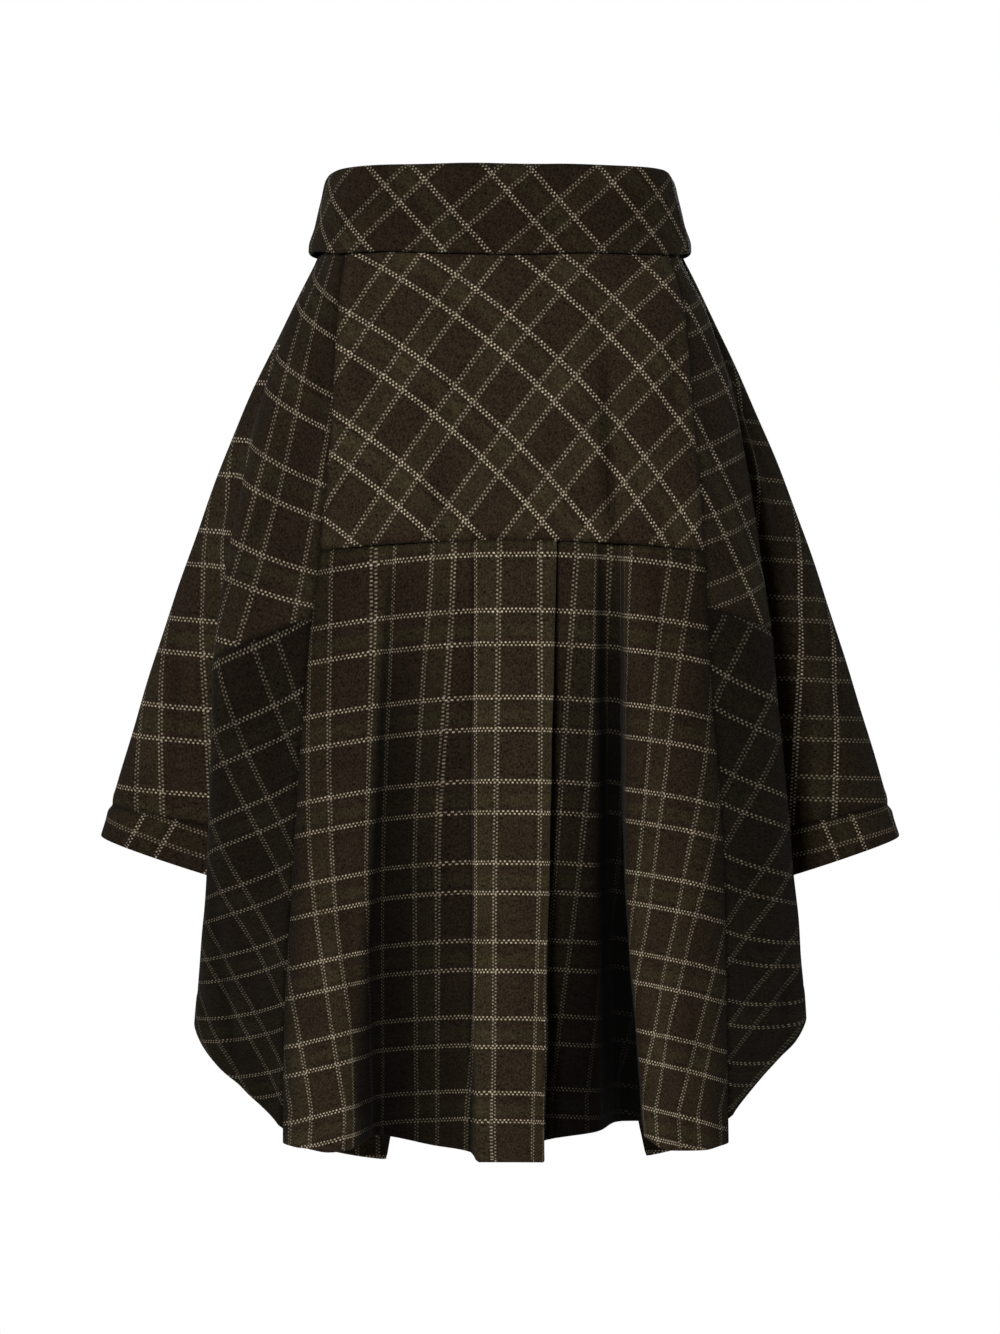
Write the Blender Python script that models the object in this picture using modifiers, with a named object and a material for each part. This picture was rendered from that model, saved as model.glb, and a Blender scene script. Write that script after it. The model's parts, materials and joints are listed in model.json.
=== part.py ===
"""Wide-collared single-breasted coat in its worn, hollow form.

Metres, +Z up. The coat faces -Y, so its back is at +Y and the wearer's left is at +X.
The origin is the middle of the neckline ring, where the shoulders hold the coat.
Every cloth piece is an open surface with a Solidify wall that grows inward.
"""
import math

import bmesh
import bpy
import numpy as np
from mathutils import Vector

COAT = "single_breasted_coat"

# Cloth and making
WALL = 0.0025
WOOL_BROWN = (0.021, 0.015, 0.010)
HORN_BROWN = (0.018, 0.012, 0.008)
SEAM_GAP = 0.0004
SEAM_MARGIN = 0.003
SEAM_STEP = 0.08

# Heights below the neckline ring
YOKE_DROP = 0.2935
YOKE_MIDDLE = -0.010
YOKE_SAG = 0.28
ARM_DEPTH = 0.285
ARM_ROWS = 8

# Shares of the way round a side, from centre back (0) to centre front (1)
EDGE, BULGE, SIDE, CORNER = 0.25, 0.45, 0.60, 0.80
ROUND = (0.0, EDGE, BULGE, SIDE, CORNER, 1.0)
BULGE_LEAN = 0.35
ARM_BACK = 0.080
ARM_FRONT = 0.19
ARM_CURVE = 1.5

# The body's sections. z: height. back_x, back_y: centre back. edge_x, edge_y: princess seam
# and side edge of the back panel, with turn: how far the cloth has turned there, in degrees.
# bulge: the rolled fullness behind the sleeve. side: side seam. corner: front corner.
# front_y: centre front. x is measured out from the middle.
BODY_COLUMNS = ("z", "back_x", "back_y", "edge_x", "edge_y", "turn", "bulge_x", "bulge_y",
                "side_x", "side_y", "corner_x", "corner_y", "front_y")
BODY = {
    1: (
        (0.000, -0.010, 0.106, 0.150, 0.082, 40, 0.172, 0.038, 0.175, -0.008, 0.142, -0.078, -0.104),
        (-0.075, -0.010, 0.130, 0.158, 0.110, 34, 0.208, 0.055, 0.196, 0.002, 0.152, -0.094, -0.122),
        (-0.155, -0.010, 0.148, 0.161, 0.130, 30, 0.234, 0.068, 0.204, 0.006, 0.160, -0.106, -0.135),
        (-0.300, -0.010, 0.170, 0.172, 0.153, 30, 0.262, 0.082, 0.205, 0.010, 0.168, -0.122, -0.148),
        (-0.410, -0.009, 0.178, 0.184, 0.160, 35, 0.278, 0.085, 0.206, 0.010, 0.170, -0.126, -0.152),
        (-0.610, -0.007, 0.185, 0.198, 0.163, 45, 0.284, 0.079, 0.212, 0.008, 0.172, -0.130, -0.158),
        (-0.760, -0.005, 0.188, 0.206, 0.163, 52, 0.299, 0.048, 0.262, -0.015, 0.185, -0.128, -0.165),
        (-0.940, -0.004, 0.190, 0.208, 0.162, 55, 0.314, 0.044, 0.288, -0.022, 0.200, -0.130, -0.168),
    ),
    -1: (
        (0.000, 0.010, 0.106, 0.164, 0.064, 52, 0.173, 0.034, 0.175, -0.008, 0.142, -0.078, -0.104),
        (-0.075, 0.010, 0.130, 0.181, 0.100, 45, 0.207, 0.053, 0.196, 0.002, 0.152, -0.094, -0.122),
        (-0.155, 0.010, 0.148, 0.186, 0.124, 42, 0.230, 0.067, 0.204, 0.006, 0.160, -0.106, -0.135),
        (-0.300, 0.010, 0.170, 0.196, 0.150, 38, 0.252, 0.082, 0.205, 0.010, 0.168, -0.122, -0.148),
        (-0.410, 0.009, 0.178, 0.201, 0.158, 40, 0.267, 0.085, 0.206, 0.010, 0.170, -0.126, -0.152),
        (-0.610, 0.007, 0.185, 0.214, 0.162, 48, 0.284, 0.080, 0.212, 0.008, 0.172, -0.130, -0.158),
        (-0.760, 0.005, 0.188, 0.217, 0.162, 52, 0.300, 0.048, 0.262, -0.015, 0.185, -0.128, -0.165),
        (-0.940, 0.004, 0.190, 0.219, 0.160, 55, 0.314, 0.044, 0.288, -0.022, 0.200, -0.130, -0.168),
    ),
}

# The slanted seam under the side back: its height at the back panel, the bulge and the side
SLANT = {1: (-0.366, -0.412, -0.430), -1: (-0.357, -0.383, -0.400)}

# How finely each piece is drawn: rows down it and columns across it
SIDE_COLUMNS = 11
SIDE_BACK_ROWS = 5
SIDE_LOWER_ROWS = 13
YOKE_COLUMNS = 13
YOKE_ROWS = 9
PANEL_ROWS = 15
FRONT_COLUMNS = 12
FRONT_ROWS = 13
SLEEVE_ROWS = 13
COLLAR_COLUMNS = 49
BUTTON_STEPS = 16

# Hem of the side and front panels: share of the way round, height
HEM = {
    1: ((0.25, -0.853), (0.35, -0.804), (0.45, -0.764), (0.60, -0.776),
        (0.70, -0.846), (0.80, -0.912), (0.90, -0.931), (1.00, -0.934)),
    -1: ((0.25, -0.844), (0.35, -0.790), (0.45, -0.757), (0.60, -0.770),
         (0.70, -0.842), (0.80, -0.912), (0.90, -0.932), (1.00, -0.935)),
}

# Height of the back panel's two hem corners
BACK_CORNER = -0.866

# The lower back panel from its left edge to its right one, a row for each fold line:
# x and y where it leaves the yoke, half way down and at the hem, and the hem's height there
MIDDLE = 0.49
FOLD_COLUMNS = ("line", "yoke_x", "yoke_y", "middle_x", "middle_y", "hem_x", "hem_y", "hem_z")
FOLDS = (
    ("left lobe, outer", 0.155, 0.158, 0.177, 0.177, 0.188, 0.189, -0.866),
    ("left lobe, crest", 0.130, 0.163, 0.147, 0.181, 0.161, 0.192, -0.870),
    ("left lobe, inner", 0.109, 0.166, 0.126, 0.178, 0.139, 0.184, -0.868),
    ("valley", 0.0995, 0.165, 0.108, 0.151, 0.117, 0.136, -0.862),
    ("left plain", 0.0615, 0.169, 0.066, 0.164, 0.067, 0.156, -0.868),
    ("box pleat, left foot", 0.0265, 0.170, 0.0270, 0.174, 0.0275, 0.173, -0.873),
    ("box pleat, left fold", 0.0256, 0.175, 0.0254, 0.188, 0.0207, 0.190, -0.8795),
    ("box pleat, right fold", -0.054, 0.175, -0.047, 0.188, -0.0414, 0.190, -0.8795),
    ("box pleat, right foot", -0.053, 0.169, -0.044, 0.167, -0.0380, 0.152, -0.868),
    ("recess, edge", -0.088, 0.168, -0.089, 0.158, -0.0940, 0.126, -0.860),
    ("recess, left floor", -0.100, 0.162, -0.108, 0.118, -0.1190, 0.084, -0.856),
    ("recess, right floor", -0.112, 0.162, -0.118, 0.120, -0.1380, 0.086, -0.8555),
    ("right lobe, fold", -0.120, 0.167, -0.119, 0.174, -0.1370, 0.180, -0.857),
    ("right lobe, crest", -0.134, 0.168, -0.138, 0.184, -0.1570, 0.192, -0.868),
    ("right lobe, outer", -0.166, 0.162, -0.180, 0.180, -0.1930, 0.184, -0.869),
)
FOLD_STEP = 0.014

# Fronts: how far each passes the centre line, by height. Below the lap they swing open.
LAP = {
    1: ((0.0, 0.030), (-0.18, 0.028), (-0.30, 0.008), (-0.50, -0.040), (-0.935, -0.118)),
    -1: ((0.0, 0.030), (-0.18, 0.028), (-0.30, 0.003), (-0.50, -0.055), (-0.935, -0.153)),
}
LAP_LIFT = {1: -0.0014, -1: 0.0016}
LAP_EASE = (0.84, 0.94)
FRONT_HEM = -0.93

# Sleeve: an oval cuff round an axis that leans outward, and the fullness between
CUFF_CENTRE = (0.3208, -0.045, -0.612)
CUFF_LEAN = math.radians(18)
CUFF_HALF_WIDTH = 0.088
CUFF_HALF_DEPTH = 0.055
CUFF_BAND = (0.034, 0.056)
SLEEVE_FULL = 0.019
SLEEVE_FULL_HIGH = 0.8
SLEEVE_TOP_ROWS = 4
SLEEVE_SEAT = 0.001

# Collar section, outward and upward from the neckline, from the foot of the stand over the
# fold to the rolled lower edge, and how its rolled edge hangs: share of the way round, drop
COLLAR_SECTION = ((0.0000, 0.0008), (-0.0055, 0.030), (-0.0110, 0.060), (-0.0110, 0.0695),
                  (-0.0070, 0.0740), (-0.0028, 0.0695), (0.0025, 0.045), (0.0085, 0.018),
                  (0.0140, -0.003), (0.0142, -0.0085), (0.0117, -0.0117), (0.0090, -0.0107))
COLLAR_FALL = 5
COLLAR_HANG = ((0.0, 0.0045), (0.22, 0.001), (0.35, -0.004), (0.50, -0.008), (0.72, -0.007), (1.0, 0.001))
COLLAR_END = 0.965

# Buttons: name, height and the front each lies on. The upper two are fastened through the
# right front, and the lower two show on the left one. All lie one inset from that front's edge.
BUTTON_RADIUS = 0.014
BUTTON_THICK = 0.0045
BUTTON_HOLE = 0.0012
BUTTON_HOLE_RING = 0.0028
BUTTON_INSET = 0.030
BUTTONS = (("button_1", -0.050, -1), ("button_2", -0.165, -1),
           ("button_3", -0.330, 1), ("button_4", -0.470, 1))
BUTTON_LIFT = 0.0004


def clear_scene():
    """Start from nothing."""
    for old in list(bpy.data.objects):
        bpy.data.objects.remove(old, do_unlink=True)


def material(name, colour, roughness):
    """One Principled material for a piece."""
    made = bpy.data.materials.new(name)
    made.use_nodes = True
    shader = made.node_tree.nodes["Principled BSDF"]
    shader.inputs["Base Color"].default_value = (*colour, 1.0)
    shader.inputs["Roughness"].default_value = roughness
    shader.inputs["Metallic"].default_value = 0.0
    return made


def level_slopes(knots, values):
    """Slopes at the knots that keep level stretches level and never pass a crest."""
    rise = np.diff(values, axis=0) / np.diff(knots)[:, None]
    before, after = rise[:-1], rise[1:]
    agree = before * after > 0
    total = np.where(agree, before + after, 1.0)
    slopes = np.zeros_like(values)
    slopes[0], slopes[-1] = rise[0], rise[-1]
    slopes[1:-1] = np.where(agree, 2 * before * after / total, 0.0)
    return slopes


def through(knots, values, at):
    """A soft line through the values at the knots, read at each number in at."""
    knots = np.asarray(knots, float)
    values = np.asarray(values, float).reshape(len(knots), -1)
    if knots[0] > knots[-1]:
        knots, values = knots[::-1], values[::-1]
    at = np.atleast_1d(np.asarray(at, float))
    slopes = level_slopes(knots, values)
    k = np.clip(np.searchsorted(knots, at, side="right") - 1, 0, len(knots) - 2)
    span = (knots[k + 1] - knots[k])[:, None]
    t = np.clip((at - knots[k])[:, None] / span, 0.0, 1.0)
    return (values[k] * (2 * t**3 - 3 * t**2 + 1) + slopes[k] * span * (t**3 - 2 * t**2 + t)
            + values[k + 1] * (3 * t**2 - 2 * t**3) + slopes[k + 1] * span * (t**3 - t**2))


def unit(vectors):
    """The vectors at length one."""
    return vectors / np.maximum(np.linalg.norm(vectors, axis=-1, keepdims=True), 1e-9)


def body_column(side, column, height):
    """One column of the body's table, read at a height."""
    table = np.array(BODY[side])
    return through(table[:, 0], table[:, BODY_COLUMNS.index(column)], height)[:, 0]


def body(side, share, height):
    """Points of the body's outer surface on one side, at shares of the way round it."""
    share, height = np.broadcast_arrays(np.asarray(share, float), np.asarray(height, float))
    shape = share.shape
    share, height = share.ravel().copy(), height.ravel()
    table = np.array(BODY[side])
    row = dict(zip(BODY_COLUMNS[1:], through(table[:, 0], table[:, 1:], height).T))
    past = share > 1.0
    share[past] = 2.0 - share[past]
    nought = np.zeros_like(height)
    points = np.stack([
        np.stack([row["back_x"], row["back_y"]], 1), np.stack([row["edge_x"], row["edge_y"]], 1),
        np.stack([row["bulge_x"], row["bulge_y"]], 1), np.stack([row["side_x"], row["side_y"]], 1),
        np.stack([row["corner_x"], row["corner_y"]], 1), np.stack([nought, row["front_y"]], 1)], 1)
    turn = np.radians(row["turn"])
    tangents = np.zeros_like(points)
    tangents[:, 0] = (1.0, 0.0)
    tangents[:, 1] = np.stack([np.cos(turn), -np.sin(turn)], 1)
    before, after = unit(points[:, 2] - points[:, 1]), unit(points[:, 3] - points[:, 2])
    tangents[:, 2] = unit(BULGE_LEAN * before + (1 - BULGE_LEAN) * after)
    tangents[:, 3:5] = unit(points[:, 4:6] - points[:, 2:4])
    tangents[:, 5] = (-1.0, 0.0)
    knots = np.array(ROUND)
    k = np.clip(np.searchsorted(knots, share, side="right") - 1, 0, len(knots) - 2)
    t = ((share - knots[k]) / (knots[k + 1] - knots[k]))[:, None]
    n = np.arange(len(share))
    start, end = points[n, k], points[n, k + 1]
    chord = np.linalg.norm(end - start, axis=1, keepdims=True)
    flat = (start * (2 * t**3 - 3 * t**2 + 1) + tangents[n, k] * chord * (t**3 - 2 * t**2 + t)
            + end * (3 * t**2 - 2 * t**3) + tangents[n, k + 1] * chord * (t**3 - t**2))
    sign = np.where(past, -side, side)
    return np.stack([flat[:, 0] * sign, flat[:, 1], height], 1).reshape(*shape, 3)


def outward(side, share, height):
    """Level outward direction of the body's surface."""
    step = 0.004
    along = body(side, share + step, height) - body(side, share - step, height)
    across = np.stack([-along[..., 1], along[..., 0], np.zeros_like(along[..., 0])], -1)
    return unit(across) * side


def arm_share(height):
    """How open the armhole is at a height, one at the neckline and nought at the underarm."""
    reach = np.clip(1.0 - (np.asarray(height) / ARM_DEPTH)**2, 0.0, 1.0)
    return np.sqrt(reach)**ARM_CURVE


def arm_heights():
    """Heights of the rows down the armhole, closer together near the underarm."""
    return -ARM_DEPTH * np.sin(np.linspace(0.0, math.pi / 2, ARM_ROWS + 1))


def seam_steps(count):
    """Even shares from 0 to 1 with a narrow step inside each end, which keeps the walls true."""
    shares = np.linspace(0, 1, count)
    small = SEAM_STEP * shares[1]
    return np.concatenate([[0.0, small], shares[1:-1], [1.0 - small, 1.0]])


def pull_in(grid, sides="tblr", gap=SEAM_GAP / 2):
    """Draw a piece's edges in by half a seam gap: t top, b bottom, l first and r last column."""
    grid = grid.copy()
    source = grid.copy()
    for key, edge, inner in (("t", np.s_[0], np.s_[1]), ("b", np.s_[-1], np.s_[-2]),
                             ("l", np.s_[:, 0], np.s_[:, 1]), ("r", np.s_[:, -1], np.s_[:, -2])):
        if key in sides:
            grid[edge] += unit(source[inner] - source[edge]) * gap
    return grid


def cloth(name, grid, flip=False, ring=False):
    """A piece of cloth from its grid of outer points: an open surface with an inward wall."""
    rows, columns = grid.shape[:2]
    last = columns if ring else columns - 1
    faces = []
    for r in range(rows - 1):
        for c in range(last):
            n = (c + 1) % columns
            quad = (r * columns + c, r * columns + n, (r + 1) * columns + n, (r + 1) * columns + c)
            faces.append(quad[::-1] if flip else quad)
    mesh = bpy.data.meshes.new(name)
    mesh.from_pydata([tuple(p) for p in grid.reshape(-1, 3)], [], faces)
    mesh.shade_smooth()
    made = bpy.data.objects.new(name, mesh)
    wall = made.modifiers.new("wall", "SOLIDIFY")
    wall.thickness = WALL
    wall.offset = -1.0
    wall.use_even_offset = True
    wall.use_quality_normals = True
    made.data.materials.append(material(name + "_wool", WOOL_BROWN, 0.95))
    PARTS.objects.link(made)
    return made


def yoke_height(x):
    """Height of the yoke seam, which dips towards both sides like an arc."""
    return -(YOKE_DROP + YOKE_SAG * (np.asarray(x) - YOKE_MIDDLE)**2)


def back_yoke():
    """Upper centre back, from one princess seam to the other."""
    shares = seam_steps(YOKE_COLUMNS) * 2 - 1
    rows = np.linspace(0, 1, YOKE_ROWS)
    columns = []
    for share in shares:
        side = 1 if share >= 0 else -1
        seam = yoke_height(body(side, abs(share) * EDGE, -YOKE_DROP)[0])
        columns.append(body(side, abs(share) * EDGE, rows * seam))
    return cloth("back_yoke", pull_in(np.stack(columns, 1)))


def fold_lines(down):
    """The back panel's fold lines at a share of the way down, between its two edges."""
    fold = dict(zip(FOLD_COLUMNS[1:], np.array([row[1:] for row in FOLDS]).T))
    levels = (0.0, MIDDLE, 1.0)
    x = through(levels, [fold["yoke_x"], fold["middle_x"], fold["hem_x"]], down)[0]
    y = through(levels, [fold["yoke_y"], fold["middle_y"], fold["hem_y"]], down)[0]
    z = yoke_height(fold["yoke_x"]) * (1 - down) + fold["hem_z"] * down
    lines = [np.stack([x, y, z], 1)]
    for side, place in ((1, 0), (-1, 2)):
        seam = yoke_height(body(side, EDGE, -YOKE_DROP)[0])
        edge_z = seam * (1 - down) + BACK_CORNER * down
        edge = body(side, EDGE, edge_z)
        turn = math.radians(body_column(side, "turn", edge_z)[0])
        inner = edge + SEAM_MARGIN * np.array((-side * math.cos(turn), math.sin(turn), 0.0))
        pair = np.array([edge, inner]) if side == 1 else np.array([inner, edge])
        lines.insert(place, pair)
    return np.concatenate(lines)


def back_panel():
    """Lower centre back with its box pleat, deep pleat and soft fold."""
    middle = fold_lines(MIDDLE)
    lengths = np.linalg.norm(np.diff(middle, axis=0), axis=1)
    knots = np.concatenate([[0.0], np.cumsum(lengths)])
    places = [0.0]
    for start, length in zip(knots, lengths):
        steps = max(1, round(length / FOLD_STEP))
        places.extend(start + length * np.arange(1, steps + 1) / steps)
    rows = [through(knots, fold_lines(down), places) for down in np.linspace(0, 1, PANEL_ROWS)]
    grid = pull_in(pull_in(np.array(rows)), "t")
    return cloth("back_panel", grid, flip=True)


def side_name(side):
    """The wearer's left is at +X."""
    return "left" if side == 1 else "right"


def slant_height(side, across):
    """Height of the slanted seam, at a share across the side panels."""
    return through((0.0, (BULGE - EDGE) / (SIDE - EDGE), 1.0), SLANT[side], across)[:, 0]


def side_back(side):
    """Upper side back, from the princess seam round the bulge to the armhole."""
    across = seam_steps(SIDE_COLUMNS)
    arm = arm_heights() / slant_height(side, 1.0)
    down = np.concatenate([arm, np.linspace(arm[-1], 1.0, SIDE_BACK_ROWS)[1:]])
    z = down[:, None] * slant_height(side, across)[None, :]
    outer = SIDE - ARM_BACK * arm_share(z)
    share = EDGE + across[None, :] * (outer - EDGE)
    grid = pull_in(body(side, share, z))
    return cloth("side_back_" + side_name(side), grid, flip=side == -1)


def hem_height(side, share):
    """Height of the side and front panels' hem."""
    table = np.array(HEM[side])
    return through(table[:, 0], table[:, 1], share)[:, 0]


def side_lower(side):
    """Lower side panel, from the slanted seam to the hem."""
    across = seam_steps(SIDE_COLUMNS)
    share = EDGE + across * (SIDE - EDGE)
    down = np.linspace(0, 1, SIDE_LOWER_ROWS)[:, None]
    z = slant_height(side, across) * (1 - down) + hem_height(side, share) * down
    grid = pull_in(body(side, np.broadcast_to(share, z.shape), z))
    return cloth("side_lower_" + side_name(side), grid, flip=side == -1)


def lap_share(side, z):
    """Share of the way round at which a front ends."""
    table = np.array(LAP[side])
    reach = through(table[:, 0], table[:, 1], z)[:, 0]
    return 1.0 + reach / body_column(side, "corner_x", z) * (1.0 - CORNER)


def lap_lift(side, share):
    """How far a front is moved out near the centre line, so that one lies on the other."""
    start, full = LAP_EASE
    return LAP_LIFT[side] * np.clip((share - start) / (full - start), 0.0, 1.0)


def front_points(side, across, down):
    """Points of a front at shares across it, from the side to its edge, and down it."""
    end = lap_share(side, FRONT_HEM)[0]
    hem = hem_height(side, np.minimum(SIDE + across * (end - SIDE), 1.0))
    z = down[:, None] * hem[None, :]
    outer = lap_share(side, z.ravel()).reshape(z.shape)
    inner = SIDE + ARM_FRONT * arm_share(z)
    share = inner + across[None, :] * (outer - inner)
    return body(side, share, z) + outward(side, share, z) * lap_lift(side, share)[..., None]


def front(side):
    """A full-length front, from the side seam and armhole past the centre line."""
    across = seam_steps(FRONT_COLUMNS)
    arm = arm_heights() / hem_height(side, SIDE)[0]
    down = np.concatenate([arm, np.linspace(arm[-1], 1.0, FRONT_ROWS)[1:]])
    grid = pull_in(front_points(side, across, down))
    return cloth("front_" + side_name(side), grid, flip=side == -1)


def armhole(side):
    """The sleeve's root: from the shoulder round the back to the underarm and up the front."""
    down = arm_heights()
    halves = []
    for reach in (-ARM_BACK, ARM_FRONT):
        top = SIDE + reach * np.linspace(0, 1, SLEEVE_TOP_ROWS + 1)[:-1]
        share = np.concatenate([top, SIDE + reach * arm_share(down)])
        height = np.concatenate([np.zeros(SLEEVE_TOP_ROWS), down])
        halves.append(body(side, share, height) + outward(side, share, height) * SLEEVE_SEAT)
    return np.concatenate([halves[0][:-1], halves[1][:0:-1]])


def cuff_ring(side, rise):
    """The cuff's oval, raised along the sleeve by a rise at its outer and at its inner side."""
    half = ARM_ROWS + SLEEVE_TOP_ROWS
    angle = np.arange(2 * half) * math.pi / half
    wide = np.array((math.cos(CUFF_LEAN), 0.0, math.sin(CUFF_LEAN)))
    axis = np.array((math.sin(CUFF_LEAN), 0.0, -math.cos(CUFF_LEAN)))
    deep = np.array((0.0, 1.0, 0.0))
    lift = (rise[0] + rise[1]) / 2 + (rise[0] - rise[1]) / 2 * np.cos(angle)
    points = (np.array(CUFF_CENTRE) + CUFF_HALF_WIDTH * np.cos(angle)[:, None] * wide
              + CUFF_HALF_DEPTH * np.sin(angle)[:, None] * deep - lift[:, None] * axis)
    return points * (side, 1, 1)


def sleeve(side):
    """A sleeve from the armhole to the cuff seam."""
    root = armhole(side)
    end = cuff_ring(side, CUFF_BAND)
    half = ARM_ROWS + SLEEVE_TOP_ROWS
    angle = np.arange(2 * half) * math.pi / half
    wide = np.array((side * math.cos(CUFF_LEAN), 0.0, math.sin(CUFF_LEAN)))
    fullness = SLEEVE_FULL * np.sqrt(0.5 + 0.5 * np.cos(angle))
    rows = []
    for t in seam_steps(SLEEVE_ROWS):
        swell = math.sin(math.pi * t**SLEEVE_FULL_HIGH) * fullness[:, None] * wide
        rows.append(root * (1 - t) + end * t + swell)
    grid = pull_in(np.array(rows), "t", SEAM_GAP)
    grid = pull_in(grid, "b", 2 * SEAM_GAP)
    return cloth("sleeve_" + side_name(side), grid, flip=side == 1, ring=True)


def cuff(side):
    """The turned cuff band below the sleeve's seam."""
    rows = [cuff_ring(side, (CUFF_BAND[0] * t, CUFF_BAND[1] * t)) for t in (1.0, 0.5, 0.0)]
    grid = pull_in(np.array(rows), "t", SEAM_GAP / 2)
    return cloth("cuff_" + side_name(side), grid, flip=side == 1, ring=True)


def collar():
    """The wide fold-over collar, from one front end round the back to the other."""
    hang = np.array(COLLAR_HANG)
    columns = []
    for place in np.linspace(-COLLAR_END, COLLAR_END, COLLAR_COLUMNS):
        side = 1 if place >= 0 else -1
        share = abs(place)
        foot = body(side, share, 0.0)
        out = outward(side, np.array(share), np.array(0.0))
        drop = through(hang[:, 0], hang[:, 1], share)[0, 0]
        column = []
        for row, (away, up) in enumerate(COLLAR_SECTION):
            fall = min(max((row - COLLAR_FALL) / 3, 0.0), 1.0)
            column.append(foot + out * away + np.array((0.0, 0.0, up - drop * fall)))
        columns.append(column)
    grid = np.array(columns).transpose(1, 0, 2)
    return cloth("collar", grid)


def button_place(height, side):
    """Where a button sits: its point on the cloth's outer face and the way it faces."""
    z = np.array([height])
    inset = BUTTON_INSET / body_column(side, "corner_x", z) * (1.0 - CORNER)
    share = lap_share(side, z) - inset
    face = outward(side, share, z)
    slope = body(side, share, z + 0.005) - body(side, share, z - 0.005)
    normal = unit(np.cross(slope, np.cross(face, slope)))
    return (body(side, share, z) + face * lap_lift(side, share)[:, None])[0], normal[0]


def button(name, height, side):
    """A four-hole button with a rim, turned by a Screw modifier and bored by a Boolean."""
    point, normal = button_place(height, side)
    r, t = BUTTON_RADIUS, BUTTON_THICK
    profile = ((0.0, 0.6 * t), (0.6 * r, 0.6 * t), (0.75 * r, t), (0.93 * r, 0.9 * t),
               (r, 0.45 * t), (0.9 * r, 0.0), (0.0, 0.0))
    mesh = bpy.data.meshes.new(name)
    edges = [(i, i + 1) for i in range(len(profile) - 1)]
    mesh.from_pydata([(x, 0.0, z) for x, z in profile], edges, [])
    made = bpy.data.objects.new(name, mesh)
    PARTS.objects.link(made)
    screw = made.modifiers.new("turn", "SCREW")
    screw.steps = screw.render_steps = BUTTON_STEPS
    screw.use_merge_vertices = True
    screw.merge_threshold = 0.0001
    screw.use_smooth_shade = True
    for number in range(4):
        turn = math.pi / 4 + number * math.pi / 2
        cutter_mesh = bpy.data.meshes.new(name + "_hole")
        shape = bmesh.new()
        bmesh.ops.create_cone(shape, cap_ends=True, segments=6, radius1=BUTTON_HOLE,
                              radius2=BUTTON_HOLE, depth=4 * t)
        shape.to_mesh(cutter_mesh)
        shape.free()
        cutter = bpy.data.objects.new(f"{name}_hole_{number + 1}", cutter_mesh)
        cutter.location = (BUTTON_HOLE_RING * math.cos(turn), BUTTON_HOLE_RING * math.sin(turn), 0.0)
        cutter.parent = made
        cutter.hide_render = True
        cutter.display_type = "WIRE"
        CUTTERS.objects.link(cutter)
        bore = made.modifiers.new(f"hole {number + 1}", "BOOLEAN")
        bore.operation = "DIFFERENCE"
        bore.object = cutter
    seat = Vector(point) + Vector(normal) * BUTTON_LIFT
    made.location = seat
    made.rotation_mode = "QUATERNION"
    made.rotation_quaternion = Vector(normal).to_track_quat("Z", "Y")
    made.data.materials.append(material(name + "_horn", HORN_BROWN, 0.35))
    return made


clear_scene()
PARTS = bpy.data.collections.new(COAT)
CUTTERS = bpy.data.collections.new(COAT + "_cutters")
bpy.context.scene.collection.children.link(PARTS)
bpy.context.scene.collection.children.link(CUTTERS)

collar()
back_yoke()
back_panel()
for wearer_side in (1, -1):
    side_back(wearer_side)
    side_lower(wearer_side)
    front(wearer_side)
    sleeve(wearer_side)
    cuff(wearer_side)
for button_name, button_height, button_side in BUTTONS:
    button(button_name, button_height, button_side)
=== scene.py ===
# %% [markdown]
# # A single-breasted coat, from its pattern pieces to brushed wool
#
# The coat is made of flat pieces of checked wool: a wide fold-over collar, a yoke cut on the
# bias, a pleated lower back, side panels, two fronts and two flared sleeves with turned cuffs.
# This lesson rebuilds each piece as a thin shell of cloth, lays its creases, puts the
# woven check on it at its real size, and sews on the buttons. Everything is in metres.

# %% Load the imported coat and keep its box
import json
import math
import bmesh
import bpy
import numpy as np
from mathutils import Matrix, Vector

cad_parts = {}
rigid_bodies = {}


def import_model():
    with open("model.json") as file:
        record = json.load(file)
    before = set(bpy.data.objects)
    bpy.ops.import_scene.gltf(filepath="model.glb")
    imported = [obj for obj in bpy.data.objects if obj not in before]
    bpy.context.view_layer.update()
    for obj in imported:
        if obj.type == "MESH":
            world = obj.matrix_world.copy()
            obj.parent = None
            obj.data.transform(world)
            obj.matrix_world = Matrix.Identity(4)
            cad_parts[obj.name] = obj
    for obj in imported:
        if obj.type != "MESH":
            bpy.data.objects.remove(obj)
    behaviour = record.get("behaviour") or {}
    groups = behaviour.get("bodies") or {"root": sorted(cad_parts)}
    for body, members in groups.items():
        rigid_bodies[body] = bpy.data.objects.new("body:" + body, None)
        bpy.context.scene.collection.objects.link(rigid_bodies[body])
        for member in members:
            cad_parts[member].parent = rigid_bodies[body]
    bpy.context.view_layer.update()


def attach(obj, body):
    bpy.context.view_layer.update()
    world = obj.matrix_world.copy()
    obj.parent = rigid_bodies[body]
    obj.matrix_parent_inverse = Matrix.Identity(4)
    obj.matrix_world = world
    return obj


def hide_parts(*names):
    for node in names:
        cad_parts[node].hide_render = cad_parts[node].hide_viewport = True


for old in list(bpy.data.objects):
    bpy.data.objects.remove(old, do_unlink=True)
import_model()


def add(name, data):
    """A new object with this data, linked to the scene."""
    made = bpy.data.objects.new(name, data)
    bpy.context.scene.collection.objects.link(made)
    return made

# %% [markdown]
# ## The camera
#
# The coat is seen straight from behind, at the height of its middle, from a few metres away.
# A long lens from far off keeps the sides from spreading, as in a shop's product picture.
# The long side of the picture sets the lens, so that 1 mm is one pixel at the shoulders.

# %% Camera behind the coat
PICTURE_HEIGHT_PX = 1334
VIEW_DISTANCE = 3.2
VIEW_HEIGHT = -0.414
MM_PER_PIXEL = 1.0

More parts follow.
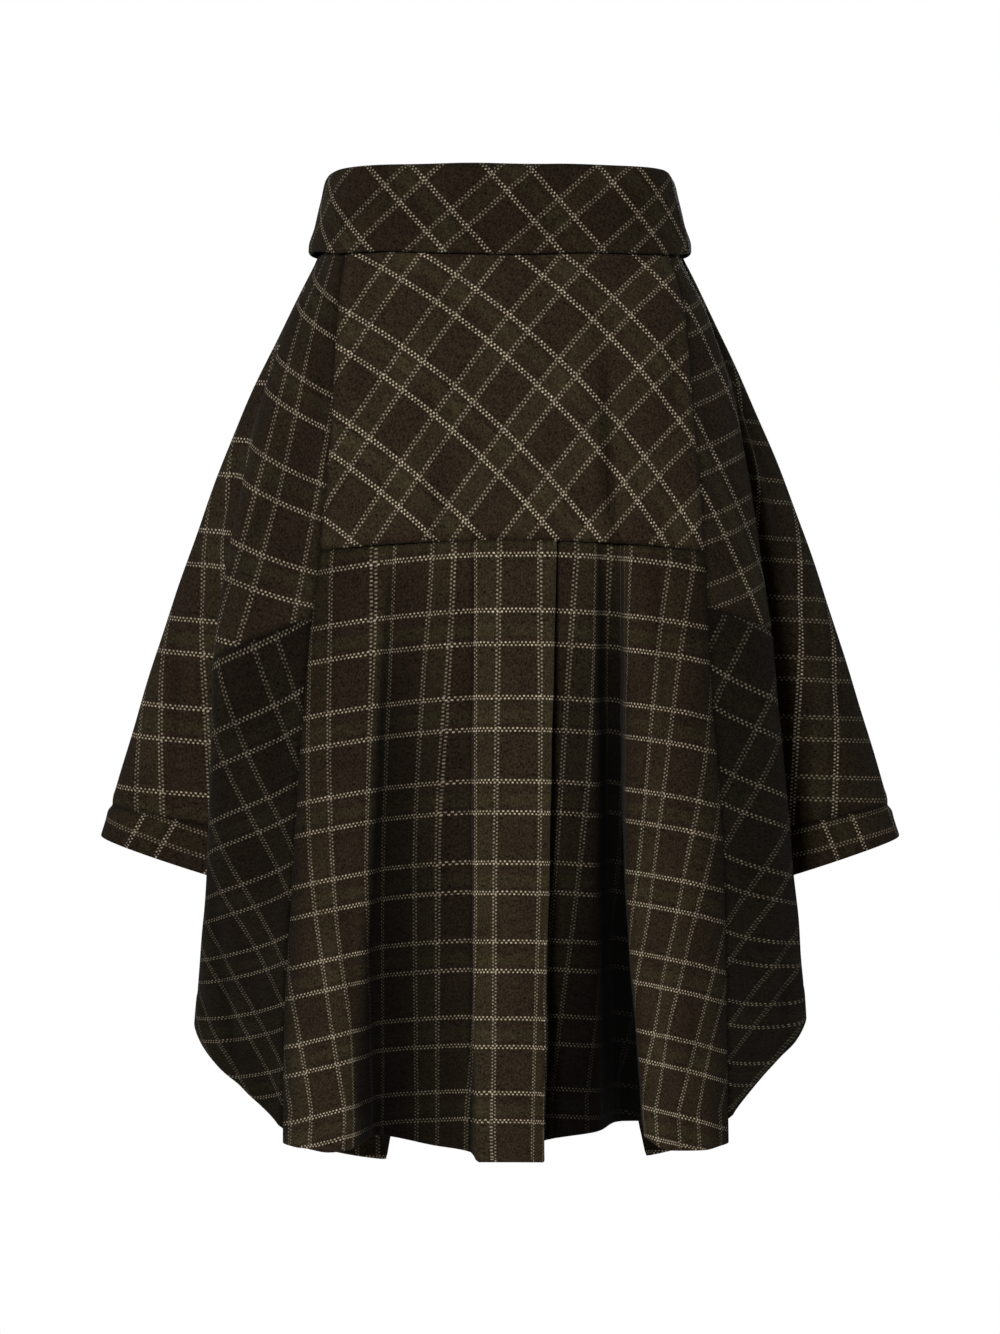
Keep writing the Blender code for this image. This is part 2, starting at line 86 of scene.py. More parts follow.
lens_data = bpy.data.cameras.new("back_view")
lens_data.sensor_fit = "VERTICAL"
lens_data.sensor_height = 36.0
lens_data.lens = 36.0 * VIEW_DISTANCE * 1000 / (PICTURE_HEIGHT_PX * MM_PER_PIXEL)
back_view = add("back_view", lens_data)
back_view.location = (0.0, VIEW_DISTANCE, VIEW_HEIGHT)
back_view.rotation_euler = (math.radians(90), 0.0, math.radians(180))
bpy.context.scene.camera = back_view
print("lens", round(lens_data.lens, 2), "mm")

# %% [markdown]
# ## Soft lines through a few measured points
#
# A tailor draws a coat's outline with a curved ruler through a few marks. Here a soft line does
# the same: it passes through the given values, keeps level stretches level and never swings
# past a crest, so that a table of a few rows gives a whole smooth panel.

# %% Soft lines and unit directions
def level_slopes(knots, values):
    """Slopes at the marks that keep level stretches level and never pass a crest."""
    rise = np.diff(values, axis=0) / np.diff(knots)[:, None]
    before, after = rise[:-1], rise[1:]
    agree = before * after > 0
    total = np.where(agree, before + after, 1.0)
    slopes = np.zeros_like(values)
    slopes[0], slopes[-1] = rise[0], rise[-1]
    slopes[1:-1] = np.where(agree, 2 * before * after / total, 0.0)
    return slopes


def through(knots, values, at):
    """A soft line through the values at the knots, read at each number in at."""
    knots = np.asarray(knots, float)
    values = np.asarray(values, float).reshape(len(knots), -1)
    if knots[0] > knots[-1]:
        knots, values = knots[::-1], values[::-1]
    at = np.atleast_1d(np.asarray(at, float))
    slopes = level_slopes(knots, values)
    k = np.clip(np.searchsorted(knots, at, side="right") - 1, 0, len(knots) - 2)
    span = (knots[k + 1] - knots[k])[:, None]
    t = np.clip((at - knots[k])[:, None] / span, 0.0, 1.0)
    return (values[k] * (2 * t**3 - 3 * t**2 + 1) + slopes[k] * span * (t**3 - 2 * t**2 + t)
            + values[k + 1] * (3 * t**2 - 2 * t**3) + slopes[k + 1] * span * (t**3 - t**2))


def unit(vectors):
    """The vectors at length one."""
    return vectors / np.maximum(np.linalg.norm(vectors, axis=-1, keepdims=True), 1e-9)


print("halfway between marks 0, 1 and 1:", through((0, 1, 2), (0, 1, 1), (0.5, 1.5)).ravel())

# %% [markdown]
# ## The body of the coat
#
# The coat stands in its worn shape with nobody in it. Eight level sections, read from the
# neckline down, give centre back, the princess seam, the full roll behind the sleeve, the side
# seam and the front corner. All panels are cut from this one surface, so their seams meet.

# %% The body's sections
EDGE, BULGE, SIDE, CORNER = 0.25, 0.45, 0.60, 0.80
ROUND = (0.0, EDGE, BULGE, SIDE, CORNER, 1.0)
BULGE_LEAN = 0.35
BODY_COLUMNS = ("z", "back_x", "back_y", "edge_x", "edge_y", "turn", "bulge_x", "bulge_y",
                "side_x", "side_y", "corner_x", "corner_y", "front_y")
BODY = {
    1: (
        (0.000, -0.010, 0.106, 0.150, 0.082, 40, 0.172, 0.038, 0.175, -0.008, 0.142, -0.078, -0.104),
        (-0.075, -0.010, 0.130, 0.158, 0.110, 34, 0.208, 0.055, 0.196, 0.002, 0.152, -0.094, -0.122),
        (-0.155, -0.010, 0.148, 0.161, 0.130, 30, 0.234, 0.068, 0.204, 0.006, 0.160, -0.106, -0.135),
        (-0.300, -0.010, 0.170, 0.172, 0.153, 30, 0.262, 0.082, 0.205, 0.010, 0.168, -0.122, -0.148),
        (-0.410, -0.009, 0.178, 0.184, 0.160, 35, 0.278, 0.085, 0.206, 0.010, 0.170, -0.126, -0.152),
        (-0.610, -0.007, 0.185, 0.198, 0.163, 45, 0.284, 0.079, 0.212, 0.008, 0.172, -0.130, -0.158),
        (-0.760, -0.005, 0.188, 0.206, 0.163, 52, 0.299, 0.048, 0.262, -0.015, 0.185, -0.128, -0.165),
        (-0.940, -0.004, 0.190, 0.208, 0.162, 55, 0.314, 0.044, 0.288, -0.022, 0.200, -0.130, -0.168),
    ),
    -1: (
        (0.000, 0.010, 0.106, 0.164, 0.064, 52, 0.173, 0.034, 0.175, -0.008, 0.142, -0.078, -0.104),
        (-0.075, 0.010, 0.130, 0.181, 0.100, 45, 0.207, 0.053, 0.196, 0.002, 0.152, -0.094, -0.122),
        (-0.155, 0.010, 0.148, 0.186, 0.124, 42, 0.230, 0.067, 0.204, 0.006, 0.160, -0.106, -0.135),
        (-0.300, 0.010, 0.170, 0.196, 0.150, 38, 0.252, 0.082, 0.205, 0.010, 0.168, -0.122, -0.148),
        (-0.410, 0.009, 0.178, 0.201, 0.158, 40, 0.267, 0.085, 0.206, 0.010, 0.170, -0.126, -0.152),
        (-0.610, 0.007, 0.185, 0.214, 0.162, 48, 0.284, 0.080, 0.212, 0.008, 0.172, -0.130, -0.158),
        (-0.760, 0.005, 0.188, 0.217, 0.162, 52, 0.300, 0.048, 0.262, -0.015, 0.185, -0.128, -0.165),
        (-0.940, 0.004, 0.190, 0.219, 0.160, 55, 0.314, 0.044, 0.288, -0.022, 0.200, -0.130, -0.168),
    ),
}

# %% A point anywhere on the body
def body_column(side, column, height):
    """One column of the body's table, read at a height."""
    table = np.array(BODY[side])
    return through(table[:, 0], table[:, BODY_COLUMNS.index(column)], height)[:, 0]


def body(side, share, height):
    """Points of the body's outer surface on one side, at shares of the way round it."""
    share, height = np.broadcast_arrays(np.asarray(share, float), np.asarray(height, float))
    shape = share.shape
    share, height = share.ravel().copy(), height.ravel()
    table = np.array(BODY[side])
    row = dict(zip(BODY_COLUMNS[1:], through(table[:, 0], table[:, 1:], height).T))
    past = share > 1.0
    share[past] = 2.0 - share[past]
    nought = np.zeros_like(height)
    points = np.stack([
        np.stack([row["back_x"], row["back_y"]], 1), np.stack([row["edge_x"], row["edge_y"]], 1),
        np.stack([row["bulge_x"], row["bulge_y"]], 1), np.stack([row["side_x"], row["side_y"]], 1),
        np.stack([row["corner_x"], row["corner_y"]], 1), np.stack([nought, row["front_y"]], 1)], 1)
    turn = np.radians(row["turn"])
    tangents = np.zeros_like(points)
    tangents[:, 0] = (1.0, 0.0)
    tangents[:, 1] = np.stack([np.cos(turn), -np.sin(turn)], 1)
    before, after = unit(points[:, 2] - points[:, 1]), unit(points[:, 3] - points[:, 2])
    tangents[:, 2] = unit(BULGE_LEAN * before + (1 - BULGE_LEAN) * after)
    tangents[:, 3:5] = unit(points[:, 4:6] - points[:, 2:4])
    tangents[:, 5] = (-1.0, 0.0)
    knots = np.array(ROUND)
    k = np.clip(np.searchsorted(knots, share, side="right") - 1, 0, len(knots) - 2)
    t = ((share - knots[k]) / (knots[k + 1] - knots[k]))[:, None]
    n = np.arange(len(share))
    start, end = points[n, k], points[n, k + 1]
    chord = np.linalg.norm(end - start, axis=1, keepdims=True)
    flat = (start * (2 * t**3 - 3 * t**2 + 1) + tangents[n, k] * chord * (t**3 - 2 * t**2 + t)
            + end * (3 * t**2 - 2 * t**3) + tangents[n, k + 1] * chord * (t**3 - t**2))
    sign = np.where(past, -side, side)
    return np.stack([flat[:, 0] * sign, flat[:, 1], height], 1).reshape(*shape, 3)


def outward(side, share, height):
    """Level outward direction of the body's surface."""
    step = 0.004
    along = body(side, share + step, height) - body(side, share - step, height)
    across = np.stack([-along[..., 1], along[..., 0], np.zeros_like(along[..., 0])], -1)
    return unit(across) * side


print("side seam at the hem:", body(1, SIDE, -0.94).round(3))

# %% [markdown]
# ## Cloth as a thin shell
#
# Real coating is about 2.5 mm thick and its edges are turned, so they look round and soft. A
# flat sheet would show a knife edge, and a Solidify modifier a square one. Here the outer and
# inner faces are two grids of the same points, and a half round joins them along every edge.
# A second map, OFBake, lays both faces out without overlaps, with the outer face larger.

# %% How long the cloth is, and which way it faces
WALL = 0.0025
PANELS = {}


def cloth_lengths(grid, start):
    """Lengths along the cloth: across from a starting column, and down from the top edge."""
    across = np.zeros(grid.shape[:2])
    across[:, 1:] = np.cumsum(np.linalg.norm(np.diff(grid, axis=1), axis=2), axis=1)
    across -= across[:, start:start + 1]
    down = np.zeros(grid.shape[:2])
    down[1:] = np.cumsum(np.linalg.norm(np.diff(grid, axis=0), axis=2), axis=0)
    return across, down


def facing(grid, flip):
    """Outward direction of the cloth at every point of its grid."""
    normal = unit(np.cross(np.gradient(grid, axis=1), np.gradient(grid, axis=0)))
    return -normal if flip else normal


# %% Round the edges and close the shell
RIM_TURNS = (45, 90, 135)
RIM_BAKE = 0.001
BAKE_SIDE, BAKE_TOP = 0.008, 0.006
BAKE_SPLIT, BAKE_SPLIT_WIDE = 0.5, 0.36


def border(rows, columns):
    """Grid places round the edge of a piece, once round."""
    top = [(0, c) for c in range(columns)]
    right = [(r, columns - 1) for r in range(1, rows)]
    bottom = [(rows - 1, c) for c in range(columns - 2, -1, -1)]
    left = [(r, 0) for r in range(rows - 2, 0, -1)]
    return tuple(np.array(top + right + bottom + left).T)


def bake_band(across, down, upper, lower):
    """Places of a face's points in a band of the bake picture, its long side along the band."""
    wide = (across - across.min()) / (across.max() - across.min())
    tall = np.linspace(0, 1, len(down))[:, None] * np.ones(across.shape[1])
    if down.max() > across.max() - across.min():
        wide, tall = tall, wide
    return np.stack([BAKE_SIDE + (1 - 2 * BAKE_SIDE) * wide, upper - (upper - lower) * tall], -1)


def shell(name, outer, inner, cloth, across, down, painted_shade, flip):
    """A closed piece of cloth from its outer and inner faces, with half-round edges."""
    rows, columns = outer.shape[:2]
    loop = border(rows, columns)
    inside = (np.clip(loop[0], 1, rows - 2), np.clip(loop[1], 1, columns - 2))
    away = unit(outer[loop] - outer[inside])
    middle = (outer[loop] + inner[loop]) / 2
    half = outer[loop] - middle
    radius = np.linalg.norm(half, axis=1, keepdims=True)
    spread = across.max() - across.min()
    slim = min(down.max(), spread) / max(down.max(), spread) <= 0.5
    split = BAKE_SPLIT if slim else BAKE_SPLIT_WIDE
    face_map = bake_band(across, down, 1 - BAKE_TOP, split + BAKE_SIDE)
    back_map = bake_band(across, down, split - BAKE_SIDE, BAKE_TOP)
    points, maps, bakes = [outer.reshape(-1, 3)], [cloth.reshape(-1, 2)], [face_map.reshape(-1, 2)]
    for number, turn in enumerate(np.radians(RIM_TURNS), 1):
        points.append(middle + half * math.cos(turn) + away * radius * math.sin(turn))
        maps.append(cloth[loop])
        bakes.append(face_map[loop] + unit(face_map[loop] - face_map[inside]) * RIM_BAKE * number)
    points.append(inner.reshape(-1, 3))
    maps.extend([cloth.reshape(-1, 2), cloth[loop]])
    bakes.append(back_map.reshape(-1, 2))
    bakes.append(back_map[loop] + unit(back_map[loop] - back_map[inside]) * RIM_BAKE)
    count, ring = rows * columns, np.arange(len(loop[0]))
    last_rim = count + len(ring) * (len(RIM_TURNS) - 1)
    back = last_rim + len(ring)
    corners = np.concatenate([np.arange(back + count), last_rim + ring])
    index = np.arange(count).reshape(rows, columns)
    quads = np.stack([index[:-1, :-1], index[:-1, 1:], index[1:, 1:], index[1:, :-1]], -1).reshape(-1, 4)
    faces = [quads, quads[:, ::-1] + back]
    place = index[loop]
    levels = [place] + [count + len(ring) * k + ring for k in range(len(RIM_TURNS))]
    for near, far in list(zip(levels, levels[1:])) + [(back + count + ring, back + place)]:
        faces.append(np.stack([near, far, np.roll(far, -1), np.roll(near, -1)], -1))
    faces = np.concatenate(faces)[:, ::-1 if flip else 1]
    mesh = bpy.data.meshes.new(name)
    mesh.from_pydata(np.concatenate(points).tolist(), [], corners[faces].tolist())
    for map_name, values in (("cloth", np.concatenate(maps)), ("OFBake", np.concatenate(bakes))):
        layer = mesh.uv_layers.new(name=map_name)
        layer.data.foreach_set("uv", values[faces.ravel()].ravel())
    # The painted shade of each point, kept on the mesh for the material.
    shade_values = np.concatenate([painted_shade.ravel()] + [painted_shade[loop]] * len(RIM_TURNS) + [painted_shade.ravel()])
    mesh.attributes.new("painted_shade", "FLOAT", "POINT").data.foreach_set("value", shade_values)
    mesh.shade_smooth()
    return add(name, mesh)


print("rim of a 3 by 4 piece:", len(border(3, 4)[0]), "points")

# %% [markdown]
# ## Creases, seams and hems
#
# Worn wool is never even. Every crease is given in a table: where it starts and ends
# on its piece, how wide and how deep it is, and how far it bows. It fades in and out along its
# length, and soft shoulders stand beside it, because the cloth that sinks has to go somewhere.
# A seam pulls the cloth in and leaves the pressed allowance as a low ridge beside it. A hem is
# turned up, so the cloth is thicker there. The same numbers also paint shade into the colour:
# the cloth is darker in a crease, by its depth, and along a seam, as painted shade where light
# falls less. At a seam the rims of two pieces meet, so that no light shows between them.

# %% Soft relief on a piece
CREASE_COLUMNS = ("from_across", "from_down", "to_across", "to_down", "width", "depth", "bow")
SEAM_DEPTH = 0.0011
SEAM_WIDTH = 0.0040
ALLOWANCE_HIGH = 0.0005
SEAM_STILL, SEAM_KEEP = 0.02, 0.35
SEAM_MEET = 0.0007
HEM_TURN, HEM_THICK, HEM_SOFT = 0.032, 0.0016, 0.004
# Painted shade: how much darker the colour is in a crease, by its depth, and along a seam.
CREASE_SHADE, CREASE_SHADE_DEPTH = 135.0, 0.0045
SEAM_SHADE, SEAM_SHADE_WIDTH = 0.45, 0.0032
SLACK = 0.00055


def creases(across, down, table):
    """Height of the listed creases, in metres, at each point of a piece."""
    rows, columns = across.shape
    height = np.zeros(across.shape)
    for line in table:
        crease = dict(zip(CREASE_COLUMNS, line))
        ends = []
        for key in ("from", "to"):
            r = round(min(crease[key + "_down"], 1.0) * (rows - 1))
            c = round(crease[key + "_across"] * (columns - 1))
            ends.append(np.array((across[r, c], down[r, c])))
        way = ends[1] - ends[0]
        length = np.linalg.norm(way)
        way = way / length
        along = ((across - ends[0][0]) * way[0] + (down - ends[0][1]) * way[1]) / length
        off = (down - ends[0][1]) * way[0] - (across - ends[0][0]) * way[1]
        off = off - crease["bow"] * np.sin(np.pi * np.clip(along, 0, 1))
        fade = np.sin(np.pi * np.clip(along * 0.5 + 0.25, 0, 1) * 2 - np.pi / 2) * 0.5 + 0.5
        fade = np.where((along > -0.5) & (along < 1.5), fade, 0)
        width = crease["width"] * (0.75 + 0.5 * np.clip(along, 0, 1))
        trough = np.exp(-(off / width)**2) - 0.4 * np.exp(-((np.abs(off) - 2.1 * width) / width)**2)
        height -= crease["depth"] * fade * trough
    return height


def edge_distances(across, down):
    """How far each point lies from the top, bottom, first and last edge of its piece."""
    return {"t": down, "b": down[-1:] - down,
            "l": across - across[:, :1], "r": across[:, -1:] - across}


def seam_pull(distance, along):
    """The sunk line of a seam, a little uneven, and the ridge of the allowance beside it."""
    uneven = 1 + 0.30 * np.sin(along / 0.0093) * np.sin(along / 0.0371 + 1.0)
    ridge = np.exp(-((distance - 0.0085) / 0.0042)**2)
    return -SEAM_DEPTH * uneven * np.exp(-(distance / SEAM_WIDTH)**2) + ALLOWANCE_HIGH * uneven * ridge


def slack(across, down, phase):
    """A very low unevenness of the cloth, different on every piece."""
    return SLACK * (np.sin(across / 0.031 + phase) * np.sin(down / 0.047 + 2.1 * phase)
                    + np.sin(across / 0.019 + down / 0.058 + 1.3 * phase)
                    * np.sin(down / 0.023 - across / 0.071 + phase))


strip = np.meshgrid((0.0, 0.01, 0.02), (0.0, 0.05, 0.1))
print("crease in the middle of a strip:", creases(*strip, [(0.5, 0, 0.5, 1, 0.004, 0.002, 0)])[1])

# %% [markdown]
# ## How the check lies on each piece
#
# A checked coat is planned on the flat cloth. The yoke and the collar are cut on the bias, the
# lower back is cut straight, and the side pieces are turned a little more. Each piece has two
# rows here, for its place along the weft and along the warp: where the check starts and how it
# runs as one goes across and down the piece. The later numbers bend it, as fullness and pressing
# do. The yoke and the fronts count level and plumb instead of along the cloth. The sleeves do so
# too, with rows of their own, and the lower back has a table of its warp lines.

# %% The lie of the check
STRAIGHT = ((0, 1), (0, 0, 1))
LIE = {
    "back_yoke": (
        (-0.061, -0.711, 0.571, -0.316, -0.34, -0.028, 0.152, 0.798, -0.263, 0.2),
        (0.069, -0.597, -0.813, 0.595, -0.052, 0.588, -0.514, -0.6, -0.969, -0.651)),
    "collar": (
        (-0.0636, -0.647, 0.678, -0.004, -0.001, 0.0, -0.0, -0.0, -0.0, 0.0),
        (0.1333, -0.717, -0.611, 0.029, -0.001, -0.0, 0.002, 0.003, -0.0, -0.0)),
    "side_back_left": (
        (0.027, -1.204, 0.148, 0.469, 1.08, -0.125, 0.072, 0.203, 0.499, -0.021),
        (-0.013, -0.586, -0.752, 0.19, 1.033, -0.494, 0.029, 0.103, 0.35, 0.33)),
    "side_back_right": (
        (-0.071, 0.337, 0.757, -0.059, -0.115, 0.261, -0.003, -0.007, -0.062, 0.003),
        (0.174, 0.788, -0.424, 0.001, 0.005, 0.007, 0.0, 0.001, 0.002, 0.004)),
    "side_lower_left": (
        (0.047, -0.887, -0.37, 0.423, -0.168, -0.216, 0.084, 0.029, 0.078, -0.208),
        (0.015, -0.125, 0.642, 0.713, -0.008, 1.292, 0.179, 0.472, 0.901, -0.769)),
    "side_lower_right": (
        (-0.026, 0.696, 0.402, -0.417, -0.25, -0.072, -0.074, -0.124, -0.159, 0.724),
        (-0.058, -0.202, 0.714, 0.876, -0.062, 0.534, 0.219, 0.458, 1.229, 0.459)),
    "front_left": ((0.02, 1), (0.03, 0.03, 1)),
    "front_right": ((0.01, 1), (0.03, -0.02, 1)),
    "cuff_left": ((-0.0026, -0.132, 1), (-0.0734, 0.9, 0.22)),
    "cuff_right": ((-0.0124, -0.045, 1), (-0.0843, 1, 0.08)),
}


def run_along(steps, rows):
    """The sums of the steps, each times its number in a row, one sum for each row."""
    return np.stack([sum(step * part for step, part in zip(steps, row)) for row in rows], -1)


def lay_check(name, across, down):
    """Where each point of a piece lies on the woven check, in metres along weft and warp."""
    steps = [np.ones_like(across), across, down, across**2, across * down, down**2,
             across**3, across**2 * down, across * down**2, down**3]
    return run_along(steps, LIE.get(name, STRAIGHT))


# %% Lengths round a piece
def level_lengths(grid):
    """How far each point is from the first column, measured level along its row."""
    lengths = np.zeros(grid.shape[:2])
    lengths[:, 1:] = np.cumsum(np.linalg.norm(np.diff(grid[..., :2], axis=1), axis=2), axis=1)
    return lengths


row = np.array([[(0.01 * k, 0, 0) for k in range(4)]])
print("a level row of 3 steps of 10 mm:", level_lengths(row)[0].round(3))

# %% [markdown]
# ## Sew a piece
#
# The same steps serve for every piece, as they do at a sewing table: measure the cloth, lay the
# creases, pull in the seams, turn the hem, lay the check, and close the edges.

# %% From a grid of points to a finished piece
def sew(name, grid, flip=False, start=0, seams="", hem="", table=(), clear=None, check=None,
        painted_shade=None):
    """A finished piece of cloth from its outer points. clear fades the relief where it is nought."""
    across, down = cloth_lengths(grid, start)
    distance = edge_distances(across, down)
    folded = creases(across, down, table)
    relief = folded + slack(across, down, len(PANELS) * 1.7)
    if clear is not None:
        relief = relief * clear
    for key in seams:
        near = np.clip(distance[key] / SEAM_STILL, 0, 1)
        relief = relief * (near * near * (3 - 2 * near) * (1 - SEAM_KEEP) + SEAM_KEEP)
    for key in seams:
        relief = relief + seam_pull(distance[key], across if key in "tb" else down)
    thick = np.full(across.shape, WALL)
    for key in hem:
        turned = np.clip((HEM_TURN - distance[key]) / HEM_SOFT + 0.5, 0, 1)
        thick += HEM_THICK * turned
        relief = relief + 0.0005 * turned - 0.0004 * np.exp(-((distance[key] - HEM_TURN) / 0.003)**2)
    normal = facing(grid, flip)
    outer = grid + normal * relief[..., None]
    pulled = outer.copy()
    for key, edge, inner in (("t", np.s_[0], np.s_[1]), ("b", np.s_[-1], np.s_[-2]),
                             ("l", np.s_[:, 0], np.s_[:, 1]), ("r", np.s_[:, -1], np.s_[:, -2])):
        step = outer[inner] - outer[edge]
        room = np.linalg.norm(step, axis=1, keepdims=True) * 0.8
        pulled[edge] += unit(step) * np.minimum(thick[edge][:, None] / 2 - SEAM_MEET, room)
    inner = pulled - facing(outer, flip) * thick[..., None]
    cloth = lay_check(name, across, down) if check is None else check(across, down)
    # Painted shade: darker colour in the creases and along the seams.
    painted_shade = np.ones(across.shape) if painted_shade is None else painted_shade
    painted_shade = painted_shade * (1 + np.clip(folded, -CREASE_SHADE_DEPTH, 0) * CREASE_SHADE)
    for key in seams:
        painted_shade = painted_shade * (1 - SEAM_SHADE * np.exp(-(distance[key] / SEAM_SHADE_WIDTH)**2))
    piece = shell(name + "_cloth", pulled, inner, cloth, across, down, painted_shade, flip)
    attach(piece, "root")
    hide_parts(name)
    quads = np.cross(np.diff(grid[:-1], axis=1), np.diff(grid[:, :-1], axis=0))
    area = np.linalg.norm(quads, axis=2).sum()
    PANELS[name] = {"piece": piece, "outer": outer, "across": across, "down": down, "cloth": cloth,
                    "area": area, "flat": (across.max() - across.min(), down.max())}
    print(name, "is", [round(1000 * v) for v in PANELS[name]["flat"]], "mm, area", round(area, 3), "m2,",
          len(piece.data.polygons) * 2, "triangles")
    return piece


# %% [markdown]
# ## The back yoke
#
# The yoke is the smooth upper back between the two princess seams. It is cut on the bias, so
# the check runs as diamonds. Its lower seam dips a little towards both sides, and a soft fold
# runs up into it from the deep pleat below on the wearer's right.

# %% Yoke
YOKE_DROP = 0.2935
YOKE_MIDDLE = -0.010
YOKE_SAG = 0.28
YOKE_ROWS, YOKE_COLUMNS = 74, 89
YOKE_CREASES = (
    (0.245, 1.10, 0.262, 0.45, 0.0065, 0.0042, 0.002),
    (0.30, 0.98, 0.33, 0.60, 0.0120, -0.0014, 0.000),
    (0.06, 0.30, 0.10, 0.62, 0.0070, 0.0016, 0.004),
    (0.93, 0.25, 0.88, 0.60, 0.0090, 0.0012, -0.004),
    (0.70, 1.02, 0.66, 0.72, 0.0110, 0.0013, 0.002),
    (0.48, 0.06, 0.52, 0.40, 0.0180, -0.0010, 0.000),
)


def yoke_height(x):
    """Height of the yoke seam, which dips towards both sides like an arc."""
    return -(YOKE_DROP + YOKE_SAG * (np.asarray(x) - YOKE_MIDDLE)**2)


def yoke_points():
    """The yoke from one princess seam to the other, and from the neckline to its seam."""
    columns = []
    for share in np.linspace(-1, 1, YOKE_COLUMNS):
        side = 1 if share >= 0 else -1
        seam = yoke_height(body(side, abs(share) * EDGE, -YOKE_DROP)[0])
        columns.append(body(side, abs(share) * EDGE, np.linspace(0, 1, YOKE_ROWS) * seam))
    return np.stack(columns, 1)


yoke = yoke_points()
sew("back_yoke", yoke, start=YOKE_COLUMNS // 2, seams="tblr", table=YOKE_CREASES,
    check=lambda across, down: lay_check("back_yoke", yoke[..., 0], -yoke[..., 2]))

# %% [markdown]
# ## The lower back with its pleats
#
# One wide piece hangs from the yoke seam. It has a flat box pleat in the middle, a deep pleat
# to its right that swallows some 10 cm of cloth, and a soft lobe rolling over each side. The
# panel is drawn as a tailor marks it: a table of fold lines, each given at the yoke seam, half
# way down and at the hem, with a soft line running through them across the piece.

# %% Fold lines of the lower back
BACK_CORNER = -0.866
MIDDLE = 0.49
SEAM_MARGIN = 0.003
FOLD_COLUMNS = ("line", "yoke_x", "yoke_y", "middle_x", "middle_y", "hem_x", "hem_y", "hem_z")
FOLDS = (
    ("left lobe, outer", 0.155, 0.158, 0.177, 0.177, 0.188, 0.189, -0.866),
    ("left lobe, crest", 0.130, 0.163, 0.147, 0.181, 0.161, 0.192, -0.870),
    ("left lobe, inner", 0.109, 0.166, 0.126, 0.178, 0.139, 0.184, -0.868),
    ("valley", 0.0995, 0.165, 0.108, 0.151, 0.117, 0.136, -0.862),
    ("left plain", 0.0615, 0.169, 0.066, 0.164, 0.067, 0.156, -0.868),
    ("box pleat, left foot", 0.0265, 0.170, 0.0270, 0.174, 0.0275, 0.173, -0.873),
    ("box pleat, left fold", 0.0256, 0.175, 0.0254, 0.188, 0.0207, 0.190, -0.8795),
    ("box pleat, right fold", -0.054, 0.175, -0.047, 0.188, -0.0414, 0.190, -0.8795),
    ("box pleat, right foot", -0.053, 0.169, -0.044, 0.167, -0.0380, 0.152, -0.868),
    ("recess, edge", -0.088, 0.168, -0.089, 0.158, -0.0940, 0.126, -0.860),
    ("recess, left floor", -0.100, 0.162, -0.108, 0.118, -0.1190, 0.084, -0.856),
    ("recess, right floor", -0.112, 0.162, -0.118, 0.120, -0.1380, 0.086, -0.8555),
    ("right lobe, fold", -0.120, 0.167, -0.119, 0.174, -0.1370, 0.180, -0.857),
    ("right lobe, crest", -0.134, 0.168, -0.138, 0.184, -0.1570, 0.192, -0.868),
    ("right lobe, outer", -0.166, 0.162, -0.180, 0.180, -0.1930, 0.184, -0.869),
)
FOLD_STEP = 0.0042
BACK_ROWS = 142


def fold_lines(down):
    """The fold lines at a share of the way down, between the panel's two edges."""
    fold = dict(zip(FOLD_COLUMNS[1:], np.array([row[1:] for row in FOLDS]).T))
    levels = (0.0, MIDDLE, 1.0)
    x = through(levels, [fold["yoke_x"], fold["middle_x"], fold["hem_x"]], down)[0]
    y = through(levels, [fold["yoke_y"], fold["middle_y"], fold["hem_y"]], down)[0]
    z = yoke_height(fold["yoke_x"]) * (1 - down) + fold["hem_z"] * down
    lines = [np.stack([x, y, z], 1)]
    for side, place in ((1, 0), (-1, 2)):
        seam = yoke_height(body(side, EDGE, -YOKE_DROP)[0])
        edge_z = seam * (1 - down) + BACK_CORNER * down
        edge = body(side, EDGE, edge_z)
        turn = math.radians(body_column(side, "turn", edge_z)[0])
        inner = edge + SEAM_MARGIN * np.array((-side * math.cos(turn), math.sin(turn), 0.0))
        lines.insert(place, np.array([edge, inner]) if side == 1 else np.array([inner, edge]))
    return np.concatenate(lines)


# %% [markdown]
# The check shows how much cloth each pleat swallows. At three heights the table gives where
# along the panel each warp line of the check stands, both in metres. Between lines that both
# show it runs even, and across a pleat it takes the hidden cloth with it.

# %% Where the warp lines stand
BACK_LEVELS = (0.025, 0.52, 0.94)
BACK_WARP = (
    ((0, -0.1865), (0.0176, -0.1689), (0.0633, -0.1311), (0.1082, -0.1089),
     (0.1496, -0.0711), (0.1688, -0.0489), (0.2136, -0.0111), (0.2333, 0.0111),
     (0.2571, 0.0489), (0.3286, 0.1089), (0.395, 0.1689), (0.4636, 0.2511),
     (0.5131, 0.2889), (0.5426, 0.3111), (0.5576, 0.3261)),
    ((0, -0.2132), (0.0221, -0.1911), (0.0438, -0.1689), (0.0755, -0.1311),
     (0.1047, -0.1089), (0.1374, -0.0711), (0.1578, -0.0489), (0.2131, -0.0111),
     (0.2305, 0.0111), (0.2619, 0.0489), (0.3169, 0.1089), (0.3346, 0.1311),
     (0.3788, 0.1689), (0.4473, 0.2511), (0.4856, 0.3111), (0.515, 0.3489), (0.54, 0.3711),
     (0.5576, 0.3887)),
    ((0, -0.2632), (0.0343, -0.2289), (0.067, -0.1911), (0.0748, -0.1689),
     (0.0983, -0.1311), (0.112, -0.1089), (0.1409, -0.0711), (0.1591, -0.0489),
     (0.1853, -0.0111), (0.2244, 0.0111), (0.2574, 0.0489), (0.3151, 0.1311),
     (0.3375, 0.1689), (0.3521, 0.1911), (0.3971, 0.24), (0.4916, 0.4089), (0.5146, 0.4311),
     (0.5422, 0.4689), (0.5576, 0.4843)),
)
BACK_WEFT = (0.0027, -0.0126, 0.9273, -0.1608, 0.0306, 0.2604, -0.9966, -0.0468)


